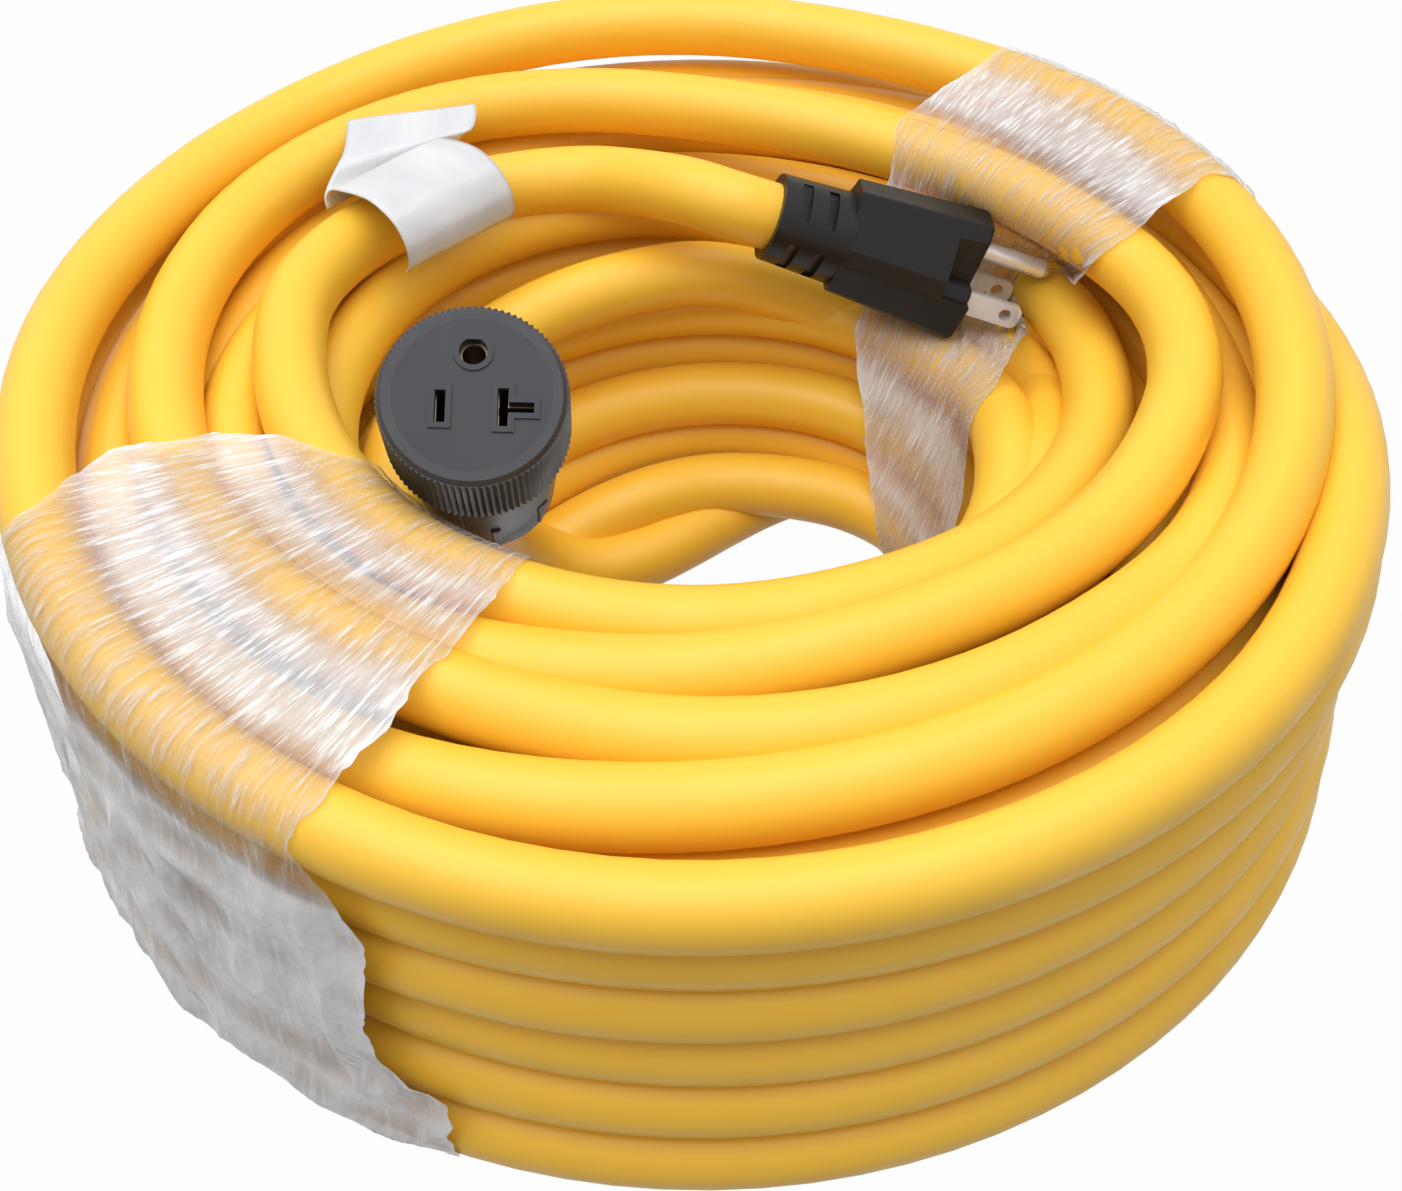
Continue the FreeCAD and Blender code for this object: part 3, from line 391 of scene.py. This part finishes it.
# left and right ends of the rows on the flag, then side and up of the rows on the bend, in mm
FLAG_ROWS = (
    ((-90.0, 88.8, 101.9), (-58.0, 96.8, 101.9)),
    ((-89.5, 82.0, 101.6), (-57.4, 90.5, 101.8)),
    ((-89.5, 75.0, 101.0), (-58.0, 86.0, 101.2)),
    ((-90.8, 70.0, 100.0), (-60.5, 84.5, 100.0)),
    ((-93.2, 64.0, 96.5), (-63.5, 84.0, 96.0)),
)
BEND_ROWS = (
    (9.6, 5.4), (9.5, 8.4), (7.3, 11.8), (2.0, 14.0), (-3.2, 15.4), (-8.0, 15.9), (-12.1, 15.4),
    (-15.6, 14.2), (-18.4, 12.2), (-20.6, 9.3), (-21.4, 6.0), (-21.2, 2.8), (-19.4, 0.6),
)
NEAR_CORD = 0.010  # gaps to the cord are read up to this far

# the label and the film lie against the cord as drawn, so its centre line is read from its route
line_curve = cord_curve.copy()
line_curve.bevel_depth = 0.0
line_curve.use_fill_caps = False
line_object = bpy.data.objects.new("cord_line", line_curve)
line_mesh = bpy.data.meshes.new_from_object(line_object)
cord_line = [vertex.co.copy() for vertex in line_mesh.vertices]
bpy.data.objects.remove(line_object)
bpy.data.curves.remove(line_curve)
bpy.data.meshes.remove(line_mesh)
cord_finder = KDTree(len(cord_line))
for index, point in enumerate(cord_line):
    cord_finder.insert(point, index)
cord_finder.balance()


def gap_to_cord(point):
    """Distance from a point to the nearest turn's surface, and the spot on that turn's centre line."""
    least = (NEAR_CORD, None)
    for near, index, _ in cord_finder.find_range(point, CORD_RADIUS + NEAR_CORD):
        for other in (index - 1, index + 1):
            if 0 <= other < len(cord_line):
                share = intersect_point_line(point, near, cord_line[other])[1]
                foot = near.lerp(cord_line[other], min(1.0, max(0.0, share)))
                gap = (point - foot).length - CORD_RADIUS
                if gap < least[0]:
                    least = (gap, foot)
    return least


def clear_of_cord(point, clearance):
    """Moves a point straight out of any turn of the cord that it lies in."""
    for _ in range(3):
        gap, foot = gap_to_cord(point)
        if foot is None or gap >= clearance:
            return point
        point = foot + (point - foot).normalized() * (CORD_RADIUS + clearance)
    return point


def label_edge_at(rows, share):
    """A point on the smooth edge line through the label's rows, share running from 0 to 1."""
    place = share * (len(rows) - 1)
    index = min(int(place), len(rows) - 2)
    t = place - index
    before = rows[max(index - 1, 0)]
    after = rows[min(index + 2, len(rows) - 1)]
    low, high = rows[index], rows[index + 1]
    return (low * 2 + (high - before) * t + (before * 2 - low * 5 + high * 4 - after) * t ** 2
            + (low * 3 - before - high * 3 + after) * t ** 3) / 2


label_left = [Vector(left) / 1000 for left, right in FLAG_ROWS]
label_right = [Vector(right) / 1000 for left, right in FLAG_ROWS]
for side, up in BEND_ROWS:
    start = LABEL_ORIGIN + (LABEL_SIDE * side + LABEL_UP * up) / 1000
    label_left.append(start)
    label_right.append(start + LABEL_AXIS * LABEL_WIDTH)
label_strip = bmesh.new()
bmesh.ops.create_grid(label_strip, x_segments=LABEL_COLUMNS, y_segments=LABEL_ROWS, size=0.5, calc_uvs=True)
label_map = label_strip.loops.layers.uv.verify()
for face in label_strip.faces:
    face.smooth = True
    for loop in face.loops:
        loop[label_map].uv = (loop.vert.co.x + 0.5, loop.vert.co.y + 0.5)
for vertex in label_strip.verts:
    across, down = vertex.co.x + 0.5, vertex.co.y + 0.5
    point = label_edge_at(label_left, down).lerp(label_edge_at(label_right, down), across)
    point += LABEL_UP * LABEL_WAVE * noise.noise(Vector((across * 2.0, down * 7.0, 3.0)))
    vertex.co = clear_of_cord(point, LABEL_CLEARANCE)
bmesh.ops.recalc_face_normals(label_strip, faces=label_strip.faces)
label_film, label_shader = surface_finish("label_film", (0.64, 0.65, 0.67), 0.24)
label_tone = shade_by(label_film, grain(label_film, "UV", 3.0, 3.0),
                      (0.35, (0.58, 0.59, 0.61)), (0.7, (0.68, 0.685, 0.70)))
label_film.node_tree.links.new(label_tone, label_shader.inputs["Base Color"])
press_grain(label_film, label_shader, grain(label_film, "UV", 5.0, 2.0, (1.0, 3.0, 1.0)), 0.25, 0.0006)
label = fit_piece("label", label_strip, label_film)
label_walls = label.modifiers.new("thickness", "SOLIDIFY")
label_walls.thickness = LABEL_THICKNESS
label_walls.offset = 1.0
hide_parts("cord_tag")

# Stretch film: two bands of thin clear polyethylene, pulled tight round the coil by hand to hold
# its turns. Each lies against the turns on top, pleated along the wrap where the pull gathers it,
# hangs looser and cloudier on the wall, and passes behind the plug or beside the connector.
FILM_GROWTH = 0.0006  # the tight line stands this far off the turns
FILM_CLEARANCE = 0.0004
FLOOR_CLEARANCE = 0.0002
BAND_SECTIONS = 36
ROUND_STEPS = 24
BAND_START_RADIUS = 0.11  # each band starts and ends under the coil at this radius
BAND_START_BELOW = 0.03
MEAN_RADIUS = 0.115  # turns azimuth into length along the coil for the patterns
WALL_BEYOND = 0.12  # the part of a band on the wall lies outside this radius
WALL_TOP = 0.098
HOLE_WITHIN = 0.1  # and the part in the coil's hole lies inside this one
HOLE_TOP = 0.088
SIDE_BLEND = 0.02
SHOULDER_FOOT = 0.084
GAP_START = 0.0012  # the film whitens where it stands this far off the turns
GAP_DEPTH = 0.004  # and fully where it stands off by this much more
PLEAT_HEIGHT = 0.0006
PLEAT_WANDER = 0.0035
SWELL_HEIGHT = 0.0034
FOLD_HEIGHT = 0.0018
PLUG_MOUTH = Vector((0.0173, 0.0600, 0.0925))
PLUG_AXIS = Vector((0.9352, 0.0, -0.3541)).normalized()
BEHIND_PLUG = Vector((0.10, 0.81, -0.58)).normalized()
EASING_REACH = 0.018
EASING_STEPS = 40
# how far the film keeps from the axis of each end, up to each place along that axis
ROUND_CONNECTOR = ((-0.058, 0.0115), (-0.021, 0.0186), (0.002, 0.0205))
ROUND_PLUG = ((0.018, 0.0125), (0.0535, 0.0160), (0.078, 0.0115))
BELOW_CONNECTOR = -0.071
BEFORE_PLUG = -0.006
FRONT_OF_PLUG = -0.045
# waves per metre across and along a band
PLEAT_DRIFT = (40, 22)
FINE_PLEATS = (620, 26)
WIDE_PLEATS = (210, 15)
SWELLS = (48, 26)
FOLDS = (80, 34)
CLOUDS = (28, 12)
# edges of the bands: azimuth in degrees by radius in mm on top, and by height in mm at the sides
LEFT_START = ((84, 209), (95, 201), (111, 198.5), (126, 198.5), (138, 201), (147, 204), (156, 204))
LEFT_END = ((84, 243.5), (150, 243.3), (156, 242.3))
LEFT_WALL_END = (
    (0, 251.5), (20, 251.5), (30, 250.3), (36, 246), (52, 246.5), (76, 247.2), (88, 245), (95, 243),
)
RIGHT_START = ((82, 21), (93, 21), (107, 21), (118, 22.5), (132, 23.4), (150, 20))
RIGHT_HOLE_START = ((0, -9), (40, -8), (54, -6), (66, 12), (76, 21), (92, 21))
RIGHT_END = ((72, 54), (83, 57), (112, 60.5), (122, 59), (141, 56), (156, 54))
RIGHT_HOLE_END = ((0, 24), (15, 25.5), (36, 40), (56, 51), (65, 55), (95, 57))
# the tables by height hold below these heights
LEFT_WALL_BELOW = 0.095
RIGHT_HOLE_START_BELOW = 0.092
RIGHT_HOLE_END_BELOW = 0.09


def turns_crossing(azimuth):
    """Radius and height of the centres of the turns that cross the half plane at an azimuth."""
    way = Vector((math.cos(math.radians(azimuth)), math.sin(math.radians(azimuth))))
    across_way = Vector((-way.y, way.x))
    centres = []
    for low, high in zip(cord_line, cord_line[1:]):
        a, b = low.xy.dot(across_way), high.xy.dot(across_way)
        if a * b <= 0 and a != b and low.xy.dot(way) > 0:
            cross = low.lerp(high, a / (a - b))
            centres.append((cross.xy.length, cross.z))
    return centres


def tight_line(centres):
    """The line of a band pulled tight round circles of the cord's size at those centres."""
    grown = CORD_RADIUS + FILM_GROWTH
    points = []
    for x, y in centres:
        for step in range(ROUND_STEPS):
            turn = 2 * math.pi * step / ROUND_STEPS
            points.append((x + grown * math.cos(turn), y + grown * math.sin(turn)))
    points.sort()
    line = []
    for ordered in (points, points[::-1]):
        start = len(line)
        for point in ordered:
            while len(line) - start >= 2:
                (ax, ay), (bx, by) = line[-2], line[-1]
                if (bx - ax) * (point[1] - ay) - (by - ay) * (point[0] - ax) > 0:
                    break
                line.pop()
            line.append(point)
        line.pop()
    return line


def even_points(line, count):
    """Even points along a band: from under the coil up its hole, over the top and down the wall."""
    ring = [Vector(point) for point in line[::-1] + line[-1:]]
    lengths = [0.0]
    start = 0.0
    for low, high in zip(ring, ring[1:]):
        if low.x >= BAND_START_RADIUS > high.x and low.y < BAND_START_BELOW:
            start = lengths[-1] + (high - low).length * (low.x - BAND_START_RADIUS) / (low.x - high.x)
        lengths.append(lengths[-1] + (high - low).length)
    points = []
    for step in range(count + 1):
        target = (start + lengths[-1] * step / count) % lengths[-1]
        at = min(bisect(lengths, target), len(lengths) - 1) - 1
        span = lengths[at + 1] - lengths[at]
        points.append(ring[at].lerp(ring[at + 1], (target - lengths[at]) / span if span else 0.0))
    return points, lengths[-1]


def edge_at(table, value):
    """Azimuth of a band's edge at a radius or height, in straight runs."""
    if value <= table[0][0]:
        return table[0][1]
    for (low, a), (high, b) in zip(table, table[1:]):
        if value <= high:
            return a + (b - a) * (value - low) / (high - low)
    return table[-1][1]


def left_start(place):
    return edge_at(LEFT_START, place.x * 1000)


def left_end(place):
    if place.y < LEFT_WALL_BELOW and place.x > WALL_BEYOND:
        return edge_at(LEFT_WALL_END, place.y * 1000)
    return edge_at(LEFT_END, place.x * 1000)


def right_start(place):
    if place.y < RIGHT_HOLE_START_BELOW and place.x < HOLE_WITHIN:
        return edge_at(RIGHT_HOLE_START, place.y * 1000)
    return edge_at(RIGHT_START, place.x * 1000)


def right_end(place):
    if place.y < RIGHT_HOLE_END_BELOW and place.x < HOLE_WITHIN:
        return edge_at(RIGHT_HOLE_END, place.y * 1000)
    return edge_at(RIGHT_END, place.x * 1000)


def keep_at(table, along):
    """Radius that the film keeps from an end's axis at a place along it."""
    return next(keep for limit, keep in table if along < limit)


def beside_connector(point):
    """Moves a point of film that would be in the connector out to the connector's side."""
    along = (point - FACE_CENTRE).dot(FACE_AXIS)
    if not BELOW_CONNECTOR < along < ROUND_CONNECTOR[-1][0]:
        return point
    keep = keep_at(ROUND_CONNECTOR, along)
    foot = FACE_CENTRE + FACE_AXIS * along
    gap = (point - foot).length
    return point if gap >= keep else foot + (point - foot) * keep / gap


def behind_plug(point):
    """Moves a point of film that would be in the plug to the side that faces the coil."""
    along = (point - PLUG_MOUTH).dot(PLUG_AXIS)
    if not BEFORE_PLUG < along < ROUND_PLUG[-1][0]:
        return point
    keep = keep_at(ROUND_PLUG, along)
    offset = point - PLUG_MOUTH - PLUG_AXIS * along
    depth = offset.dot(BEHIND_PLUG)
    sideways = (offset - BEHIND_PLUG * depth).length
    if sideways >= keep or depth < FRONT_OF_PLUG:
        return point
    return point + BEHIND_PLUG * max(0.0, math.sqrt(keep ** 2 - sideways ** 2) - depth)


def ease_round_end(band, pressed, hold):
    """Presses the film out of the plug or connector that it crosses, and eases it round that place."""
    deep = KDTree(len(pressed))
    for index, vertex in enumerate(pressed):
        deep.insert(vertex.co, index)
    deep.balance()
    eased = [vertex for vertex in band.verts
             if deep.find(vertex.co)[2] < EASING_REACH and not vertex.is_boundary]
    for vertex in pressed:
        vertex.co = hold(vertex.co)
    for _ in range(EASING_STEPS):
        bmesh.ops.smooth_vert(band, verts=eased, factor=0.5,
                              use_axis_x=True, use_axis_y=True, use_axis_z=True)
        for vertex in eased:
            vertex.co = hold(vertex.co)


def waves(pattern, across, along, seed):
    """Uneven waves of one of the film's patterns, -1 to 1, at a place in metres on a band."""
    return noise.noise(Vector((across * pattern[0], along * pattern[1], seed)))


def ridges(pattern, across, along, seed, sharpness=2.2, power=2):
    """Narrow ridges, 0 to 1, along the lines where the waves of a pattern cross nought."""
    return max(0.0, 1 - sharpness * abs(waves(pattern, across, along, seed))) ** power


def pleat(across, along, seed):
    """Height of the film's pleats, 0 to about 1: sharp ridges that run with the wrap and wander."""
    across += PLEAT_WANDER * waves(PLEAT_DRIFT, across, along, seed)
    fine = ridges(FINE_PLEATS, across, along, seed)
    wide = ridges(WIDE_PLEATS, across, along, seed + 7)
    return 0.5 * fine + 0.5 * wide


def pleat_and_cloud(band, places, seed):
    """Raises pleats, and folds on the wall, and stores how cloudy the film is and where its wall is."""
    haze_and_painted_light = band.verts.layers.float_color["haze_and_painted_light"]
    band.normal_update()
    outward = sum(vertex.normal.dot(vertex.co - vertex.co.xy.to_3d().normalized() * BAND_START_RADIUS)
                  for vertex in band.verts)
    side = 1.0 if outward > 0 else -1.0
    for vertex in band.verts:
        across_m, along_m, across, here = places[vertex]
        wall = min(1.0, max(0.0, (WALL_TOP - here.y) / SIDE_BLEND)) if here.x > WALL_BEYOND else 0.0
        hole = min(1.0, max(0.0, (HOLE_TOP - here.y) / SIDE_BLEND)) if here.x < HOLE_WITHIN else 0.0
        ridge = pleat(across_m, along_m, seed)
        swell = max(0.0, waves(SWELLS, across_m, along_m, seed + 3))
        folds = ridges(FOLDS, across_m, along_m, seed + 5, sharpness=2.4, power=1.5)
        open_gap = min(1.0, max(0.0, gap_to_cord(vertex.co)[0] - GAP_START) / GAP_DEPTH)
        lift = PLEAT_HEIGHT * ridge * (1 - 0.6 * wall) + (SWELL_HEIGHT * swell + FOLD_HEIGHT * folds) * wall
        vertex.co = clear_of_cord(vertex.co + vertex.normal * side * lift, FILM_CLEARANCE)
        vertex.co.z = max(vertex.co.z, FLOOR_CLEARANCE)
        # nearly clear on the turns, whiter over their gaps, on the wall and in the hole, in pleats
        # and folds and at both edges, and clearer again where it turns down over the top turn; the
        # whiter colour on the wall is partly painted light, paler where less light falls
        milk_and_painted_light = 0.12 + 0.12 * waves(CLOUDS, across_m, along_m, seed + 9)
        milk_and_painted_light += 0.42 * open_gap + 0.30 * wall + 0.12 * hole + 0.14 * ridge * (1 - 0.5 * wall)
        milk_and_painted_light += 0.22 * folds * wall + 0.22 * abs(2 * across - 1) ** 40
        if SHOULDER_FOOT < here.y < WALL_TOP and here.x > WALL_BEYOND:
            milk_and_painted_light -= 0.16
        vertex[haze_and_painted_light] = (min(1.0, max(0.04, milk_and_painted_light)), wall, hole, 1.0)


def film_band(name, sector, start_edge, end_edge, hold, columns, rows, seed):
    """One band: a grid laid on the tight line over its sector, eased past the cord's end and pleated."""
    low, high = sector
    loops = [even_points(tight_line(turns_crossing(low + (high - low) * i / BAND_SECTIONS)), rows)
             for i in range(BAND_SECTIONS + 1)]
    length = sum(loop[1] for loop in loops) / len(loops)
    band = bmesh.new()
    bmesh.ops.create_grid(band, x_segments=columns, y_segments=rows, size=0.5, calc_uvs=True)
    band_map = band.loops.layers.uv.verify()
    band.verts.layers.float_color.new("haze_and_painted_light")
    places = {}
    pressed = []
    for vertex in band.verts:
        across, along = vertex.co.x + 0.5, vertex.co.y + 0.5
        row = min(rows, round(along * rows))
        middle = loops[BAND_SECTIONS // 2][0][row]
        start, end = start_edge(middle), end_edge(middle)
        ragged = (noise.noise(Vector((along * 30, seed, 1.0)))
                  + 0.5 * noise.noise(Vector((along * 110, seed, 2.0))))
        aside = 2 * across - 1
        azimuth = start + (end - start) * across + ragged * aside * abs(aside) ** 3
        place = min(BAND_SECTIONS - 0.001, max(0.0, (azimuth - low) / (high - low) * BAND_SECTIONS))
        here = loops[int(place)][0][row].lerp(loops[int(place) + 1][0][row], place - int(place))
        turn = math.radians(azimuth)
        vertex.co = (here.x * math.cos(turn), here.x * math.sin(turn), here.y)
        places[vertex] = (turn * MEAN_RADIUS, along * length, across, here)
        if hold(vertex.co) != vertex.co:
            pressed.append(vertex)
    if pressed:
        ease_round_end(band, pressed, hold)
    pleat_and_cloud(band, places, seed)
    for face in band.faces:
        face.smooth = True
        for loop in face.loops:
            loop[band_map].uv = places[loop.vert][:2]
    bmesh.ops.recalc_face_normals(band, faces=band.faces)
    return fit_piece(name, band, clear_film), length


clear_film, film_shader = surface_finish("clear_film", (0.62, 0.62, 0.63), 0.24)
film_nodes = clear_film.node_tree.nodes
film_links = clear_film.node_tree.links


def film_math(operation, first, second, third=0.0):
    """A clamped sum or product of patterns in the film's finish."""
    node = film_nodes.new("ShaderNodeMath")
    node.operation = operation
    node.use_clamp = True
    for socket, value in zip(node.inputs, (first, second, third)):
        if isinstance(value, float):
            socket.default_value = value
        else:
            film_links.new(value, socket)
    return node.outputs[0]


def add_where(pattern, region, strength, cover):
    """Adds a pattern to the film's cover in one region of the band."""
    return film_math("MULTIPLY_ADD", film_math("MULTIPLY", pattern, region), strength, cover)


marks = film_nodes.new("ShaderNodeAttribute")
marks.attribute_name = "haze_and_painted_light"
marks_split = film_nodes.new("ShaderNodeSeparateColor")
film_links.new(marks.outputs["Color"], marks_split.inputs["Color"])
milk_and_painted_light, on_wall = marks_split.outputs["Red"], marks_split.outputs["Green"]
on_top = film_math("SUBTRACT", 1.0, on_wall)
streaks = shade_by(clear_film, grain(clear_film, "UV", 760.0, 5.0, (1.0, 0.10, 1.0)),
                   (0.50, 0.0), (0.70, 1.0))
threads = shade_by(clear_film, grain(clear_film, "UV", 2100.0, 4.0, (1.0, 0.06, 1.0)),
                   (0.53, 0.0), (0.66, 1.0))
crumple = shade_by(clear_film, grain(clear_film, "UV", 70.0, 5.0, (1.0, 0.35, 1.0)),
                   (0.34, 0.0), (0.66, 1.0))
cover = add_where(streaks, on_top, 0.34, milk_and_painted_light)
cover = add_where(threads, on_top, 0.34, cover)
cover = add_where(streaks, on_wall, 0.16, cover)
cover = add_where(crumple, on_wall, 0.28, cover)
film_links.new(cover, film_shader.inputs["Alpha"])
# The film's colour runs from grey where it is clear to pale where it is cloudy: partly the film's own haze,
# partly painted light, a darker grey on the top where the light falls strongly and a paler tone on the wall
# where less light falls.
film_tone_and_painted_light = shade_by(clear_film, cover, (0.15, (0.46, 0.46, 0.48)), (0.85, (0.77, 0.765, 0.765)))
film_links.new(film_tone_and_painted_light, film_shader.inputs["Base Color"])
creases = grain(clear_film, "UV", 330.0, 7.0, (1.0, 0.35, 1.0))
drawn_lines = film_math("MULTIPLY", grain(clear_film, "UV", 480.0, 5.0, (1.0, 0.16, 1.0)), on_top)
press_grain(clear_film, film_shader, film_math("MULTIPLY_ADD", creases, on_wall, drawn_lines), 1.0, 0.0013)

film_left, film_length = film_band(
    "stretch_film_left", sector=(196, 254), start_edge=left_start, end_edge=left_end,
    hold=beside_connector, columns=190, rows=230, seed=11)
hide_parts("stretch_film_front")
film_right, film_length = film_band(
    "stretch_film_right", sector=(-12, 64), start_edge=right_start, end_edge=right_end,
    hold=behind_plug, columns=170, rows=230, seed=23)
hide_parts("stretch_film_back")

# Floor: a wide sheet of matt paper that shows white to the camera and in reflections, so the
# coil stands on a white ground, and that takes a soft shadow where the coil touches it.
FLOOR_HALF = 4.0
FLOOR_DROP = 0.0002
FLOOR_WHITE = 0.98
floor_sheet = bmesh.new()
bmesh.ops.create_grid(floor_sheet, x_segments=1, y_segments=1, size=FLOOR_HALF)
bmesh.ops.translate(floor_sheet, vec=(0.0, 0.0, -FLOOR_DROP), verts=floor_sheet.verts)
floor_mesh = bpy.data.meshes.new("floor")
floor_sheet.to_mesh(floor_mesh)
floor_sheet.free()
floor = bpy.data.objects.new("floor", floor_mesh)
bpy.context.scene.collection.objects.link(floor)
white_ground, ground_shader = surface_finish("white_ground", (0.22, 0.22, 0.22), 0.6)
ground_nodes = white_ground.node_tree.nodes
ground_links = white_ground.node_tree.links


def seen_directly(tree):
    """1 for what the camera sees directly or in a reflection, else 0."""
    path = tree.nodes.new("ShaderNodeLightPath")
    either = tree.nodes.new("ShaderNodeMath")
    either.operation = "MAXIMUM"
    tree.links.new(path.outputs["Is Camera Ray"], either.inputs[0])
    tree.links.new(path.outputs["Is Glossy Ray"], either.inputs[1])
    return either.outputs[0]


ground_share = ground_nodes.new("ShaderNodeMath")
ground_share.operation = "MULTIPLY"
ground_share.inputs[1].default_value = FLOOR_WHITE
ground_links.new(seen_directly(white_ground.node_tree), ground_share.inputs[0])
ground_glow = ground_nodes.new("ShaderNodeEmission")
ground_mix = ground_nodes.new("ShaderNodeMixShader")
ground_links.new(ground_share.outputs[0], ground_mix.inputs["Fac"])
ground_links.new(ground_shader.outputs["BSDF"], ground_mix.inputs[1])
ground_links.new(ground_glow.outputs["Emission"], ground_mix.inputs[2])
ground_links.new(ground_mix.outputs["Shader"], ground_nodes["Material Output"].inputs["Surface"])
floor_mesh.materials.append(white_ground)

# Studio: a white room, brighter overhead than at the horizon, with one large soft lamp above the
# coil, a little to the left and in front, so the turns shade downwards as in the photo.
studio = bpy.data.worlds.new("studio")
bpy.context.scene.world = studio
studio.use_nodes = True
studio_nodes = studio.node_tree.nodes
studio_links = studio.node_tree.links
room_place = studio_nodes.new("ShaderNodeTexCoord")
room_height = studio_nodes.new("ShaderNodeSeparateXYZ")
room_tone = studio_nodes.new("ShaderNodeValToRGB")
room_tone.color_ramp.elements[0].position = 0.0
room_tone.color_ramp.elements[0].color = (0.12, 0.12, 0.125, 1.0)
room_tone.color_ramp.elements[1].position = 0.9
room_tone.color_ramp.elements[1].color = (0.85, 0.85, 0.85, 1.0)
studio_links.new(room_place.outputs["Generated"], room_height.inputs["Vector"])
studio_links.new(room_height.outputs["Z"], room_tone.inputs["Fac"])
room_light = studio_nodes["Background"]
studio_links.new(room_tone.outputs["Color"], room_light.inputs["Color"])
white_backdrop = studio_nodes.new("ShaderNodeBackground")
white_backdrop.inputs["Color"].default_value = (1.0, 1.0, 1.0, 1.0)
room_mix = studio_nodes.new("ShaderNodeMixShader")
studio_links.new(seen_directly(studio.node_tree), room_mix.inputs["Fac"])
studio_links.new(room_light.outputs["Background"], room_mix.inputs[1])
studio_links.new(white_backdrop.outputs["Background"], room_mix.inputs[2])
studio_links.new(room_mix.outputs["Shader"], studio_nodes["World Output"].inputs["Surface"])
lamp = bpy.data.lights.new("key", "AREA")
lamp.energy = 15.0
lamp.size = 1.5
lamp_stand = bpy.data.objects.new("key", lamp)
lamp_stand.location = (-0.2, -0.1, 1.2)
lamp_stand.rotation_euler = (math.radians(-6), math.radians(-9), 0)
bpy.context.scene.collection.objects.link(lamp_stand)
bpy.context.scene.view_settings.view_transform = "Standard"
